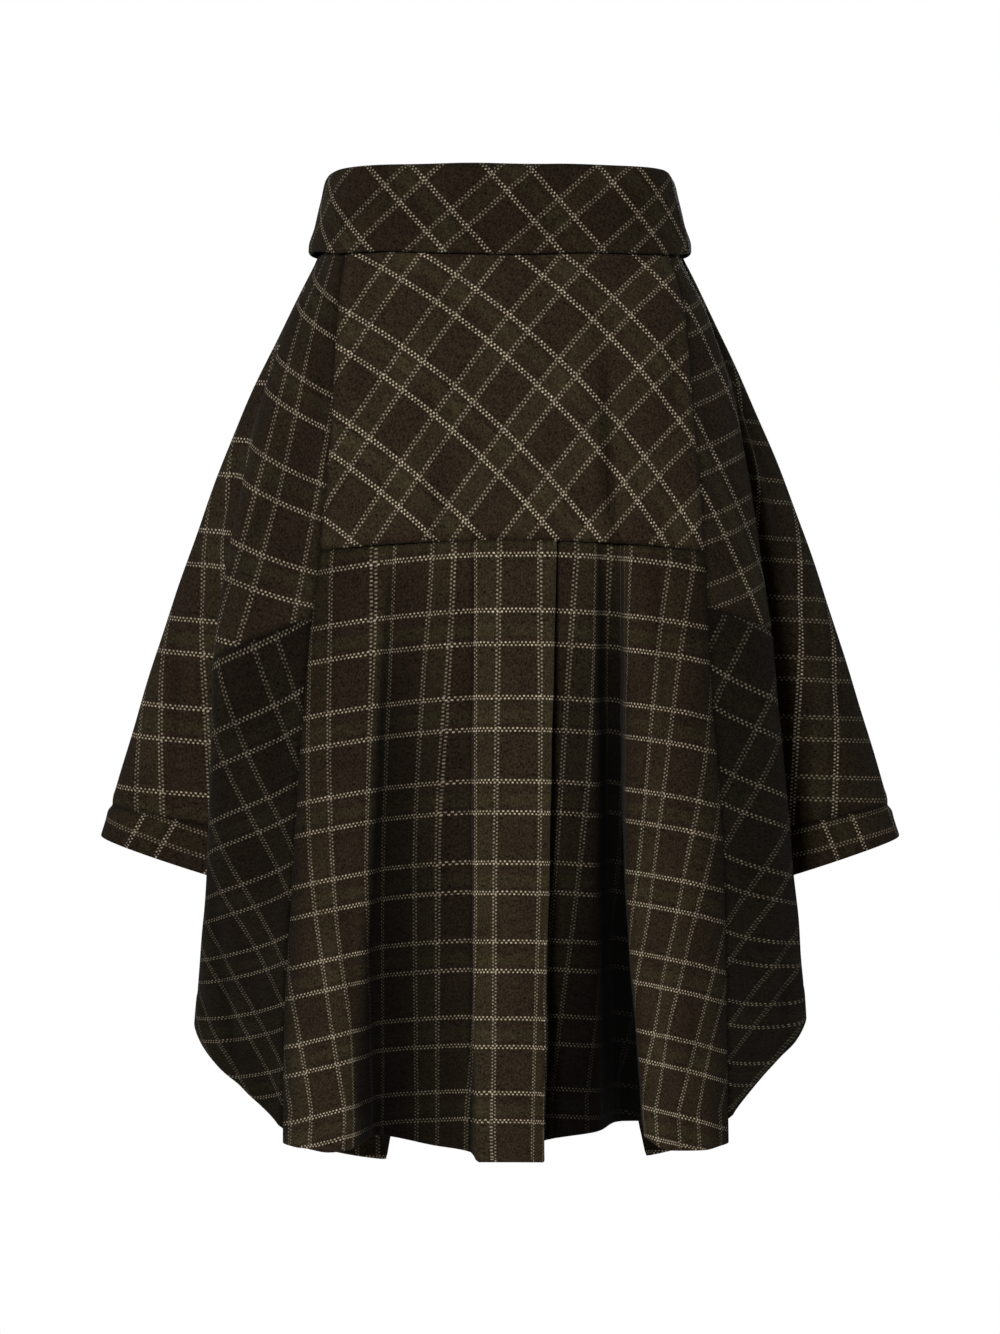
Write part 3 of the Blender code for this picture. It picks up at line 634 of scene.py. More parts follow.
def fold_places():
    """Lengths along the middle of the panel where its columns stand, and at its fold lines."""
    lengths = np.linalg.norm(np.diff(fold_lines(MIDDLE), axis=0), axis=1)
    knots = np.concatenate([[0.0], np.cumsum(lengths)])
    places = [0.0]
    for start, length in zip(knots, lengths):
        steps = max(1, round(length / FOLD_STEP))
        places.extend(start + length * np.arange(1, steps + 1) / steps)
    return knots, np.array(places)


def back_points():
    """The lower back from its left edge to its right one."""
    knots, places = fold_places()
    return np.array([through(knots, fold_lines(down), places) for down in np.linspace(0, 1, BACK_ROWS)])


def back_check(across, down):
    places = fold_places()[1]
    warp = [np.interp(places, *zip(*row)) for row in BACK_WARP]
    share = np.linspace(0, 1, len(across))
    x = back_points()[..., 0]
    steps = (np.ones_like(x), x, down, x**2, x * down, down**2, x**2 * down, down**3)
    weft = run_along(steps, [BACK_WEFT])[..., 0]
    return np.stack([through(BACK_LEVELS, warp, share), weft], -1)


BACK_CREASES = (
    (0.885, 0.02, 0.90, 0.22, 0.0080, 0.0016, 0.002),
    (0.10, 0.55, 0.16, 0.96, 0.0100, 0.0018, 0.004),
    (0.20, 0.30, 0.17, 0.75, 0.0120, 0.0013, -0.004),
    (0.36, 0.03, 0.34, 0.30, 0.0070, 0.0010, 0.002),
    (0.93, 0.62, 0.90, 0.98, 0.0100, 0.0016, -0.003),
    (0.48, 0.60, 0.50, 0.96, 0.0200, 0.0010, 0.004),
)
# Painted shade: the lower back darkens with the depth of its cloth behind the front-most fold of each row,
# and along two painted shadow lines at the feet of the box pleat.
HOLLOW_REACH, HOLLOW_SHADE = 0.025, 0.02
EDGE_SHADOWS, EDGE_SHADOW_WIDTH = ((7, 0.55), (10, 0.75)), 0.0045
hollow = back_points()[..., 1]
hollow = hollow.max(axis=1, keepdims=True) - hollow
shade_paint = HOLLOW_SHADE + (1 - HOLLOW_SHADE) * np.exp(-(hollow / HOLLOW_REACH)**1.3)
knots, places = fold_places()
for line, amount in EDGE_SHADOWS:
    shade_paint *= 1 - amount * np.exp(-((places - knots[line]) / EDGE_SHADOW_WIDTH)**2)
sew("back_panel", back_points(), flip=True, seams="tlr", hem="b", table=BACK_CREASES,
    check=back_check, painted_shade=shade_paint)

# %% [markdown]
# ## The side pieces
#
# Below each shoulder a rounded side back fills the space behind the armhole. A slanted seam
# joins it to a lower side piece, which flares towards the hem. The hem rises at the side
# and the cloth there bows out, because the front and the back hang further down.

# %% Rows down the armhole and heights of the slanted seam
ARM_DEPTH, ARM_CURVE = 0.285, 1.5
ARM_BACK, ARM_FRONT = 0.080, 0.19
FINER = 6
ARM_ROWS = 8 * FINER
SLANT = {1: (-0.366, -0.412, -0.430), -1: (-0.357, -0.383, -0.400)}
HEM = {
    1: ((0.25, -0.853), (0.35, -0.804), (0.45, -0.764), (0.60, -0.776),
        (0.70, -0.846), (0.80, -0.912), (0.90, -0.931), (1.00, -0.934)),
    -1: ((0.25, -0.844), (0.35, -0.790), (0.45, -0.757), (0.60, -0.770),
         (0.70, -0.842), (0.80, -0.912), (0.90, -0.932), (1.00, -0.935)),
}


def arm_share(height):
    """How open the armhole is at a height, one at the neckline and nought at the underarm."""
    reach = np.clip(1.0 - (np.asarray(height) / ARM_DEPTH)**2, 0.0, 1.0)
    return np.sqrt(reach)**ARM_CURVE


def arm_heights():
    """Heights of the rows down the armhole, closer together near the underarm."""
    return -ARM_DEPTH * np.sin(np.linspace(0.0, math.pi / 2, ARM_ROWS + 1))


def side_name(side):
    """The wearer's left is at +X."""
    return "left" if side == 1 else "right"


def slant_height(side, across):
    """Height of the slanted seam, at a share across the side panels."""
    return through((0.0, (BULGE - EDGE) / (SIDE - EDGE), 1.0), SLANT[side], across)[:, 0]


def hem_height(side, share):
    """Height of the side and front panels' hem."""
    table = np.array(HEM[side])
    return through(table[:, 0], table[:, 1], share)[:, 0]


# %% Side backs and lower sides
SIDE_BACK_COLUMNS, SIDE_BACK_ROWS = 44, 30
SIDE_LOWER_COLUMNS, SIDE_LOWER_ROWS = 48, 104
SIDE_BACK_CREASES = ((0.25, 0.35, 0.45, 0.80, 0.0110, 0.0018, 0.004),
                     (0.05, 0.10, 0.14, 0.45, 0.0080, 0.0013, 0.002),
                     (0.55, 0.50, 0.85, 0.85, 0.0100, 0.0014, -0.003))
SIDE_LOWER_CREASES = {
    1: ((0.22, 1.0, 0.42, 0.60, 0.0110, 0.0028, 0.004), (0.62, 0.02, 0.50, 0.35, 0.0120, 0.0018, 0.003),
        (0.80, 0.65, 0.70, 0.95, 0.0110, 0.0016, -0.003), (0.08, 0.05, 0.12, 0.30, 0.0080, 0.0012, 0.002)),
    -1: ((0.30, 0.98, 0.40, 0.66, 0.0120, 0.0021, -0.003), (0.55, 0.03, 0.46, 0.28, 0.0100, 0.0019, -0.002),
         (0.78, 0.55, 0.72, 0.90, 0.0120, 0.0015, 0.004)),
}


def side_back_points(side):
    """The side back, from the princess seam round the bulge to the armhole."""
    across = np.linspace(0, 1, SIDE_BACK_COLUMNS)
    arm = arm_heights() / slant_height(side, 1.0)
    down = np.concatenate([arm, np.linspace(arm[-1], 1.0, SIDE_BACK_ROWS)[1:]])
    z = down[:, None] * slant_height(side, across)[None, :]
    outer = SIDE - ARM_BACK * arm_share(z)
    return body(side, EDGE + across[None, :] * (outer - EDGE), z)


def side_lower_points(side):
    """The lower side, from the slanted seam to the hem."""
    share = EDGE + np.linspace(0, 1, SIDE_LOWER_COLUMNS) * (SIDE - EDGE)
    down = np.linspace(0, 1, SIDE_LOWER_ROWS)[:, None]
    z = slant_height(side, (share - EDGE) / (SIDE - EDGE)) * (1 - down) + hem_height(side, share) * down
    return body(side, np.broadcast_to(share, z.shape), z)


for side in (1, -1):
    sew("side_back_" + side_name(side), side_back_points(side), flip=side == -1,
        seams="tblr", table=SIDE_BACK_CREASES)
    sew("side_lower_" + side_name(side), side_lower_points(side), flip=side == -1,
        seams="tlr", hem="b", table=SIDE_LOWER_CREASES[side])

# %% [markdown]
# ## The fronts
#
# Two full-length fronts meet under the collar, where the upper two buttons hold them, and swing
# apart below. The photograph shows at most two short strips of their inside, under the lobes at
# the hem, which place their free edges there. The rest is plain: the same wool, soft creases from
# the underarm and a pressed front edge.

# %% Fronts
LAP = {
    1: ((0.0, 0.030), (-0.18, 0.028), (-0.30, 0.008), (-0.50, -0.040), (-0.935, -0.118)),
    -1: ((0.0, 0.030), (-0.18, 0.028), (-0.30, 0.003), (-0.50, -0.055), (-0.935, -0.153)),
}
LAP_LIFT = {1: -0.0014, -1: 0.0016}
LAP_EASE = (0.84, 0.94)
FRONT_HEM = -0.93
FRONT_COLUMNS, FRONT_ROWS = 60, 122
FLAT_EDGE, FLAT_FADE = 0.16, 0.2
FRONT_CREASES = {
    1: ((0.08, 0.34, 0.30, 0.52, 0.0130, 0.0026, 0.006), (0.16, 0.60, 0.22, 0.92, 0.0140, 0.0024, -0.005),
        (0.45, 0.62, 0.42, 0.95, 0.0150, 0.0020, 0.004), (0.30, 0.08, 0.36, 0.28, 0.0110, 0.0012, 0.003)),
    -1: ((0.07, 0.36, 0.26, 0.50, 0.0120, 0.0022, -0.005), (0.20, 0.58, 0.28, 0.96, 0.0130, 0.0026, 0.006),
         (0.52, 0.66, 0.50, 0.93, 0.0160, 0.0018, -0.004), (0.34, 0.10, 0.30, 0.26, 0.0100, 0.0011, -0.003)),
}


def lap_share(side, z):
    """Share of the way round at which a front ends."""
    table = np.array(LAP[side])
    reach = through(table[:, 0], table[:, 1], z)[:, 0]
    return 1.0 + reach / body_column(side, "corner_x", z) * (1.0 - CORNER)


def lap_lift(side, share):
    """How far a front is moved out near the centre line, so that one lies on the other."""
    start, full = LAP_EASE
    return LAP_LIFT[side] * np.clip((share - start) / (full - start), 0.0, 1.0)


def front_points(side):
    """A front from the side seam and armhole past the centre line."""
    across = np.linspace(0, 1, FRONT_COLUMNS)
    arm = arm_heights() / hem_height(side, SIDE)[0]
    down = np.concatenate([arm, np.linspace(arm[-1], 1.0, FRONT_ROWS)[1:]])
    end = lap_share(side, FRONT_HEM)[0]
    z = down[:, None] * hem_height(side, np.minimum(SIDE + across * (end - SIDE), 1.0))[None, :]
    outer = lap_share(side, z.ravel()).reshape(z.shape)
    inner = SIDE + ARM_FRONT * arm_share(z)
    share = inner + across[None, :] * (outer - inner)
    return body(side, share, z) + outward(side, share, z) * lap_lift(side, share)[..., None]


def front_check(side, grid):
    """The check hangs plumb and level on a front, counted from its free edge."""
    level = level_lengths(grid)
    plumb = level - level[:, -1:] - side * grid[:, -1:, 0]
    return lay_check("front_" + side_name(side), plumb, -grid[..., 2])


for side in (1, -1):
    grid = front_points(side)
    still = np.clip((np.linspace(1, 0, FRONT_COLUMNS) - FLAT_EDGE) / FLAT_FADE, 0, 1)[None, :]
    lie = front_check(side, grid)
    sew("front_" + side_name(side), grid, flip=side == -1, seams="tl", hem="b",
        table=FRONT_CREASES[side], clear=still, check=lambda across, down: lie)

# %% [markdown]
# ## Sleeves and cuffs
#
# The sleeves are wide and bell shaped. Each is one flat piece rolled until its underarm
# edges meet, so it has a real seam there. A turned cuff band ends it in an oval mouth that
# leans outward.

# %% Sleeves
SLEEVE_TOP_ROWS = 4 * FINER
SLEEVE_ROWS, CUFF_ROWS = 118, 15
SLEEVE_SEAT = 0.001
CUFF_CENTRE = (0.3208, -0.045, -0.612)
CUFF_LEAN = math.radians(18)
CUFF_HALF_WIDTH, CUFF_HALF_DEPTH = 0.088, 0.055
CUFF_BAND = (0.034, 0.056)
SLEEVE_FULL, SLEEVE_FULL_HIGH = 0.019, 0.8
SLEEVE_CREASES = {
    1: ((0.30, 0.62, 0.24, 0.84, 0.0100, 0.0030, 0.004), (0.12, 0.22, 0.22, 0.42, 0.0110, 0.0026, 0.003),
        (0.86, 0.24, 0.76, 0.46, 0.0120, 0.0024, -0.004), (0.62, 0.70, 0.70, 0.95, 0.0110, 0.0020, 0.003),
        (0.42, 0.50, 0.40, 0.66, 0.0090, 0.0014, -0.002)),
    -1: ((0.26, 0.58, 0.32, 0.80, 0.0110, 0.0024, -0.003), (0.14, 0.20, 0.26, 0.38, 0.0100, 0.0026, 0.004),
         (0.84, 0.26, 0.72, 0.50, 0.0130, 0.0026, -0.003), (0.66, 0.66, 0.60, 0.92, 0.0120, 0.0018, 0.004)),
}


def armhole(side):
    """The sleeve's root: from the shoulder round the back to the underarm and up the front."""
    down = arm_heights()
    halves = []
    for reach in (-ARM_BACK, ARM_FRONT):
        top = SIDE + reach * np.linspace(0, 1, SLEEVE_TOP_ROWS + 1)[:-1]
        share = np.concatenate([top, SIDE + reach * arm_share(down)])
        height = np.concatenate([np.zeros(SLEEVE_TOP_ROWS), down])
        halves.append(body(side, share, height) + outward(side, share, height) * SLEEVE_SEAT)
    return np.concatenate([halves[0][:-1], halves[1][:0:-1]])


def round_angles():
    """Angles of the columns round a sleeve, from its outer side."""
    half = ARM_ROWS + SLEEVE_TOP_ROWS
    return np.arange(2 * half) * math.pi / half


def cuff_ring(side, rise):
    """The cuff's oval, raised along the sleeve by a rise at its outer and at its inner side."""
    angle = round_angles()
    wide = np.array((math.cos(CUFF_LEAN), 0.0, math.sin(CUFF_LEAN)))
    axis = np.array((math.sin(CUFF_LEAN), 0.0, -math.cos(CUFF_LEAN)))
    deep = np.array((0.0, 1.0, 0.0))
    lift = (rise[0] + rise[1]) / 2 + (rise[0] - rise[1]) / 2 * np.cos(angle)
    points = (np.array(CUFF_CENTRE) + CUFF_HALF_WIDTH * np.cos(angle)[:, None] * wide
              + CUFF_HALF_DEPTH * np.sin(angle)[:, None] * deep - lift[:, None] * axis)
    return points * (side, 1, 1)


def unroll(rings):
    """Rows of rings, opened at the underarm so that the first column comes again at the end."""
    opened = np.roll(np.array(rings), -(ARM_ROWS + SLEEVE_TOP_ROWS), axis=1)
    return np.concatenate([opened, opened[:, :1]], axis=1)


def sleeve_points(side):
    """A sleeve from the armhole to the cuff seam."""
    root, end = armhole(side), cuff_ring(side, CUFF_BAND)
    wide = np.array((side * math.cos(CUFF_LEAN), 0.0, math.sin(CUFF_LEAN)))
    fullness = SLEEVE_FULL * np.sqrt(0.5 + 0.5 * np.cos(round_angles()))
    rows = []
    for t in np.linspace(0, 1, SLEEVE_ROWS):
        swell = math.sin(math.pi * t**SLEEVE_FULL_HIGH) * fullness[:, None] * wide
        rows.append(root * (1 - t) + end * t + swell)
    return unroll(rows)


def cuff_points(side):
    """The turned band below the sleeve's seam."""
    return unroll([cuff_ring(side, (CUFF_BAND[0] * t, CUFF_BAND[1] * t))
                   for t in np.linspace(1, 0, CUFF_ROWS)])


SLEEVE_LIE = {1: ((0.2725, 0.7647, -0.0414, 0.0), (-0.1074, -0.0689, 0.8082, 0.1349)),
              -1: ((-0.3578, 0.0366, 1.0445, -0.035), (-0.2302, -0.72, 0.0424, 0.0))}
RUN_ON, WRAP_BEND = 8, 0.3


def sleeve_check(side, grid):
    """The check hangs level and plumb at the back of a sleeve and wraps level round to its front."""
    middle = grid.shape[1] // 2
    level = level_lengths(grid)
    plumb = level - level[:, middle:middle + 1] - np.abs(grid[:, middle:middle + 1, 0])
    edge = grid[:, middle] * (side, 1, 1)
    edge = np.vstack([edge, edge[-1] + RUN_ON * (edge[-1] - edge[-2])])
    edge_x, edge_y = (np.interp(-grid[..., 2], -edge[:, 2], edge[:, axis]) for axis in (0, 1))
    chord = np.hypot(edge_x - np.abs(grid[..., 0]), edge_y - grid[..., 1])
    wrapped = -edge_x - chord * (1 + WRAP_BEND * (chord / (2 * CUFF_HALF_WIDTH))**2)
    plumb[:, :middle] = wrapped[:, :middle]
    steps = (np.ones_like(plumb), plumb, -grid[..., 2], grid[..., 2]**2)
    return run_along(steps, SLEEVE_LIE[side])


# %% Sew the sleeves and cuffs
for side in (1, -1):
    grid = sleeve_points(side)
    middle = grid.shape[1] // 2
    lie = sleeve_check(side, grid)
    sew("sleeve_" + side_name(side), grid, flip=side == 1, start=middle,
        seams="tblr", table=SLEEVE_CREASES[side], check=lambda across, down: lie)
    sew("cuff_" + side_name(side), cuff_points(side), flip=side == 1, start=middle,
        seams="tlr", hem="b")

# %% [markdown]
# ## The collar
#
# The collar is the coat's showpiece: a wide band that stands up round the neck, folds over
# and rolls at its lower edge. A section through it is swept round the neckline. The roll needs
# many short steps, because light runs along it and shows every corner.

# %% Collar
COLLAR_SECTION = ((0.0006, -0.0030), (-0.0055, 0.030), (-0.0110, 0.060), (-0.0110, 0.0695),
                  (-0.0070, 0.0740), (-0.0028, 0.0695), (0.0025, 0.045), (0.0085, 0.018),
                  (0.0140, -0.003), (0.0142, -0.0085), (0.0117, -0.0117), (0.0090, -0.0107))
COLLAR_FALL, COLLAR_COLUMNS, COLLAR_STEP = 5, 230, 0.0032
COLLAR_HANG = ((0.0, 0.0045), (0.22, 0.001), (0.35, -0.004), (0.50, -0.008), (0.72, -0.007), (1.0, 0.001))
COLLAR_END = 0.965
COLLAR_CREASES = (
    (0.46, 0.55, 0.40, 0.80, 0.0090, 0.0010, 0.002), (0.60, 0.62, 0.66, 0.86, 0.0100, 0.0011, -0.002),
    (0.22, 0.60, 0.25, 0.85, 0.0080, 0.0012, 0.001), (0.80, 0.60, 0.77, 0.84, 0.0090, 0.0011, -0.001),
)


def collar_points():
    """The collar from one front end round the back to the other."""
    section = np.array(COLLAR_SECTION)
    knots = np.concatenate([[0.0], np.cumsum(np.linalg.norm(np.diff(section, axis=0), axis=1))])
    steps = np.concatenate([[0.0]] + [np.linspace(a, b, max(2, round((b - a) / COLLAR_STEP)) + 1)[1:]
                                      for a, b in zip(knots, knots[1:])])
    fine = through(knots, section, steps)
    rows = np.interp(steps, knots, np.arange(len(section)))
    fall = np.clip((rows - COLLAR_FALL) / 3, 0.0, 1.0)
    hang = np.array(COLLAR_HANG)
    columns = []
    for place in np.linspace(-COLLAR_END, COLLAR_END, COLLAR_COLUMNS):
        side, share = (1 if place >= 0 else -1), abs(place)
        foot = body(side, share, 0.0)
        out = outward(side, np.array(share), np.array(0.0))
        drop = through(hang[:, 0], hang[:, 1], share)[0, 0]
        rise = (fine[:, 1] - drop * fall)[:, None] * np.array((0.0, 0.0, 1.0))
        columns.append(foot + out * fine[:, :1] + rise)
    return np.array(columns).transpose(1, 0, 2)


sew("collar", collar_points(), start=COLLAR_COLUMNS // 2, table=COLLAR_CREASES)

# %% [markdown]
# ## Buttons
#
# Four plain horn buttons with a raised rim and four holes. A section is turned on a lathe in 48
# steps, the holes are bored, and each button is sewn on with thread. The upper two hold
# the fronts together, and the lower two show on the left front, where the coat is undone.

# %% Where a button sits
BUTTON_RADIUS, BUTTON_THICK, BUTTON_INSET, BUTTON_LIFT = 0.014, 0.0045, 0.030, 0.0004
HOLE_RADIUS, HOLE_RING = 0.0012, 0.0028
LATHE_STEPS = 48
BUTTONS = (("button_1", -0.050, -1), ("button_2", -0.165, -1),
           ("button_3", -0.330, 1), ("button_4", -0.470, 1))
BUTTON_SECTION = ((0.0, 0.58), (0.45, 0.57), (0.60, 0.62), (0.70, 0.86), (0.78, 0.98), (0.86, 1.0),
                  (0.94, 0.92), (0.99, 0.68), (1.0, 0.45), (0.97, 0.20), (0.88, 0.04), (0.0, 0.0))


def button_place(height, side):
    """Where a button sits: its point on the cloth's outer face and the way it faces."""
    z = np.array([height])
    inset = BUTTON_INSET / body_column(side, "corner_x", z) * (1.0 - CORNER)
    share = lap_share(side, z) - inset
    face = outward(side, share, z)
    slope = body(side, share, z + 0.005) - body(side, share, z - 0.005)
    normal = unit(np.cross(slope, np.cross(face, slope)))
    return (body(side, share, z) + face * lap_lift(side, share)[:, None])[0], normal[0]


def worked_out(thing):
    """The mesh of an object once its modifiers or its bevel are worked out."""
    bpy.context.view_layer.update()
    return bpy.data.meshes.new_from_object(thing.evaluated_get(bpy.context.evaluated_depsgraph_get()))


def bored_button(name):
    """A turned button with its four holes bored, as a mesh lying in its own plane."""
    shape = bmesh.new()
    rings = []
    for r, t in BUTTON_SECTION[1:-1]:
        turn = [2 * math.pi * k / LATHE_STEPS for k in range(LATHE_STEPS)]
        rings.append([shape.verts.new((r * BUTTON_RADIUS * math.cos(a), r * BUTTON_RADIUS * math.sin(a),
                                       t * BUTTON_THICK)) for a in turn])
    for upper, lower in zip(rings, rings[1:]):
        for k in range(LATHE_STEPS):
            after = (k + 1) % LATHE_STEPS
            shape.faces.new((upper[k], lower[k], lower[after], upper[after]))
    shape.faces.new(rings[0])
    shape.faces.new(rings[-1][::-1])
    mesh = bpy.data.meshes.new(name)
    shape.to_mesh(mesh)
    shape.free()
    button = add(name, mesh)
    tools = []
    for number in range(4):
        turn = math.pi / 4 + number * math.pi / 2
        drill = bmesh.new()
        bmesh.ops.create_cone(drill, cap_ends=True, segments=16, radius1=HOLE_RADIUS,
                              radius2=HOLE_RADIUS, depth=4 * BUTTON_THICK)
        tool_mesh = bpy.data.meshes.new("drill")
        drill.to_mesh(tool_mesh)
        drill.free()
        tool = add("drill", tool_mesh)
        tool.location = (HOLE_RING * math.cos(turn), HOLE_RING * math.sin(turn), 0.0)
        bore = button.modifiers.new("hole", "BOOLEAN")
        bore.operation, bore.object = "DIFFERENCE", tool
        tools.append(tool)
    made = worked_out(button)
    button.modifiers.clear()
    button.data = made
    for tool in tools:
        bpy.data.objects.remove(tool, do_unlink=True)
    made.shade_smooth()
    made.set_sharp_from_angle(angle=math.radians(38))
    return button


# %% [markdown]
# Thread holds each button: two short bars, side by side, each three strands wide, that dip into
# the holes. A strand is a thin tube bent over the button's floor.

# %% Thread
STRAND = 0.00028


def strand_points(number):
    """The path of one strand from hole to hole."""
    bar, lane = (-1 if number < 3 else 1), (number % 3 - 1) * 1.9 * STRAND
    reach = HOLE_RING / math.sqrt(2)
    top = 0.58 * BUTTON_THICK + STRAND
    return [(x * reach, bar * reach + lane, z) for x, z in
            ((-1.0, top - 0.0018), (-0.98, top - 0.0002), (-0.7, top + 0.0003), (0.0, top + 0.0005),
             (0.7, top + 0.0003), (0.98, top - 0.0002), (1.0, top - 0.0018))]


def sewing_thread(name):
    """All six strands of one button, as one mesh."""
    line = bpy.data.curves.new(name, "CURVE")
    line.dimensions = "3D"
    line.bevel_depth = STRAND
    line.bevel_resolution = 2
    for number in range(6):
        points = strand_points(number)
        spline = line.splines.new("POLY")
        spline.points.add(len(points) - 1)
        for point, place in zip(spline.points, points):
            point.co = (*place, 1.0)
    drawn = add(name, line)
    mesh = worked_out(drawn)
    bpy.data.objects.remove(drawn, do_unlink=True)
    mesh.shade_smooth()
    return add(name, mesh)


def set_on(piece, point, normal):
    """Stand a piece on the cloth, its own up along the cloth's outward direction."""
    turn = Vector(normal).to_track_quat("Z", "Y").to_matrix().to_4x4()
    piece.data.transform(turn)
    piece.data.transform(Matrix.Translation(Vector(point) + Vector(normal) * BUTTON_LIFT))
    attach(piece, "root")


for name, height, side in BUTTONS:
    point, normal = button_place(height, side)
    button = bored_button(name + "_turned")
    set_on(button, point, normal)
    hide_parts(name)
    thread = sewing_thread(name + "_thread")
    set_on(thread, point, normal)
    PANELS[name] = {"piece": button, "thread": thread}
    print(name, "at", np.round(point, 3), len(button.data.polygons), "faces")

# %% [markdown]
# Where the coat is undone the right front shows its two worked buttonholes: a slit, closed as
# it hangs, inside an oval of close stitches. The oval is a rounded ribbon of thread on the cloth.

# %% Worked buttonholes
HOLE_LONG, HOLE_WIDE, PURL = 0.0105, 0.0022, 0.0009
STITCHES, ROUND_STEPS, PURL_STEPS = 48, 96, 8


def buttonhole(name, height):
    """An oval of stitches on the right front, level, one button inset from its edge."""
    point, normal = button_place(height, -1)
    up = unit(np.array((0.0, 0.0, 1.0)) - normal * normal[2])
    level = np.cross(up, normal)
    turns = np.linspace(0, 2 * math.pi, ROUND_STEPS + 1)[:-1]
    centres = np.stack([HOLE_LONG * np.cos(turns) * (1 + 0.06 * np.sin(turns)**2),
                        HOLE_WIDE * np.sin(turns)], 1)
    radial = unit(np.stack([np.cos(turns) * HOLE_WIDE, np.sin(turns) * HOLE_LONG], 1))
    points = []
    for place, way, turn in zip(centres, radial, turns):
        bulge = PURL * (1 + 0.14 * math.cos(STITCHES * turn))
        for k in range(PURL_STEPS):
            a = 2 * math.pi / PURL_STEPS * k
            flat = place + way * bulge * math.cos(a)
            lift = 0.0002 + 0.55 * bulge * math.sin(a)
            points.append(point + level * flat[0] + up * flat[1] + normal * lift)
    ring = np.arange(ROUND_STEPS * PURL_STEPS).reshape(ROUND_STEPS, PURL_STEPS)
    turned, ahead = np.roll(ring, -1, axis=1), np.roll(ring, -1, axis=0)
    faces = np.stack([ring, turned, np.roll(turned, -1, axis=0), ahead], -1).reshape(-1, 4).tolist()
    mesh = bpy.data.meshes.new(name)
    mesh.from_pydata([tuple(p) for p in points], [], faces)
    mesh.shade_smooth()
    oval = add(name, mesh)
    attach(oval, "root")
    return oval


HOLES = [buttonhole("buttonhole_1", -0.330), buttonhole("buttonhole_2", -0.470)]
print("buttonholes:", len(HOLES))

# %% [markdown]
# ## Building materials from small effects
#
# The wool needs the same few effects on every piece: the woven check, the dotted cream lines
# and the brushed nap. Each is a node group, so that one change reaches the whole coat. A
# short helper keeps the wiring readable: it adds a node, fills its inputs and gives its output.

# %% A node in one line
def wire(tree, kind, *inputs, out=0, **settings):
    """Add a node, link or fill its inputs in order, and return one of its outputs."""
    node = tree.nodes.new(kind)
    for key, value in settings.items():
        setattr(node, key, value)
    for number, value in enumerate(inputs):
        if value is None:
            continue
        if isinstance(value, bpy.types.NodeSocket):
            tree.links.new(value, node.inputs[number])
        else:
            node.inputs[number].default_value = value
    return node.outputs[out]


def sum_up(tree, operation, *inputs, clamp=False):
    """One Math node."""
    return wire(tree, "ShaderNodeMath", *inputs, operation=operation, use_clamp=clamp)


def weigh(tree, *terms, clamp=False):
    """A sum of values, each times its weight."""
    total = None
    for value, weight in terms:
        part = value if weight == 1 else sum_up(tree, "MULTIPLY", value, weight)
        total = part if total is None else sum_up(tree, "ADD", total, part, clamp=clamp)
    return total


def soft_step(tree, value, low, high, first=0.0, last=1.0):
    """A smooth change from first to last as the value passes from low to high."""
    return wire(tree, "ShaderNodeMapRange", value, low, high, first, last, interpolation_type="SMOOTHSTEP")


def blend(tree, amount, first, last, how="MIX"):
    """Mix two colours."""
    node = tree.nodes.new("ShaderNodeMix")
    node.data_type, node.blend_type = "RGBA", how
    for socket, value in ((node.inputs[0], amount), (node.inputs[6], first), (node.inputs[7], last)):
        if isinstance(value, bpy.types.NodeSocket):
            tree.links.new(value, socket)
        else:
            socket.default_value = value
    return node.outputs[2]


def effect(name, inputs, outputs):
    """An empty node group with its named inputs and outputs."""
    tree = bpy.data.node_groups.new(name, "ShaderNodeTree")
    for label, kind, value in inputs:
        socket = tree.interface.new_socket(label, in_out="INPUT", socket_type="NodeSocket" + kind)
        if value is not None:
            socket.default_value = value
    for label, kind in outputs:
        tree.interface.new_socket(label, in_out="OUTPUT", socket_type="NodeSocket" + kind)
    return tree, tree.nodes.new("NodeGroupInput"), tree.nodes.new("NodeGroupOutput")


def place(tree, group):
    """Put a group into a material."""
    node = tree.nodes.new("ShaderNodeGroup")
    node.node_tree = group
    return node


def blank(name):
    """A new material, with its node tree and its Principled shader."""
    made = bpy.data.materials.new(name)
    made.use_nodes = True
    return made, made.node_tree, made.node_tree.nodes["Principled BSDF"]


def emboss(tree, shader, height, strength, distance):
    """Let a height between nought and one show as relief."""
    bump = tree.nodes.new("ShaderNodeBump")
    bump.inputs["Strength"].default_value = strength
    bump.inputs["Distance"].default_value = distance
    tree.links.new(height, bump.inputs["Height"])
    tree.links.new(bump.outputs["Normal"], shader.inputs["Normal"])


# %% [markdown]
# ## The woven check
#
# The pattern is two sets of wide bands crossing on a dark ground. Along the edges of each band
# runs a cream line of two columns of small floats, half a float apart, as a herringbone would
# be. The group takes the place on the cloth in metres and gives masks, so that colours stay in
# the material. A slow wobble of a third of a millimetre keeps the lines from being ruled.

# %% Check group
WARP_REPEAT, WARP_BAND = 0.0600, 0.0111
WEFT_REPEAT, WEFT_BAND = 0.0808, 0.01535
WEFT_CORE, CORE_SOFT = (-0.0030, 0.0084), 0.0015
WARP_OLIVE, WEFT_OLIVE = 0.34, 0.55
WARP_CREAM, WEFT_CREAM = 0.36, 0.70
COLUMN_OFF, COLUMN_HALF, COLUMN_SOFT, FLOAT_STEP = 0.00130, 0.00075, 0.0003, 0.00370


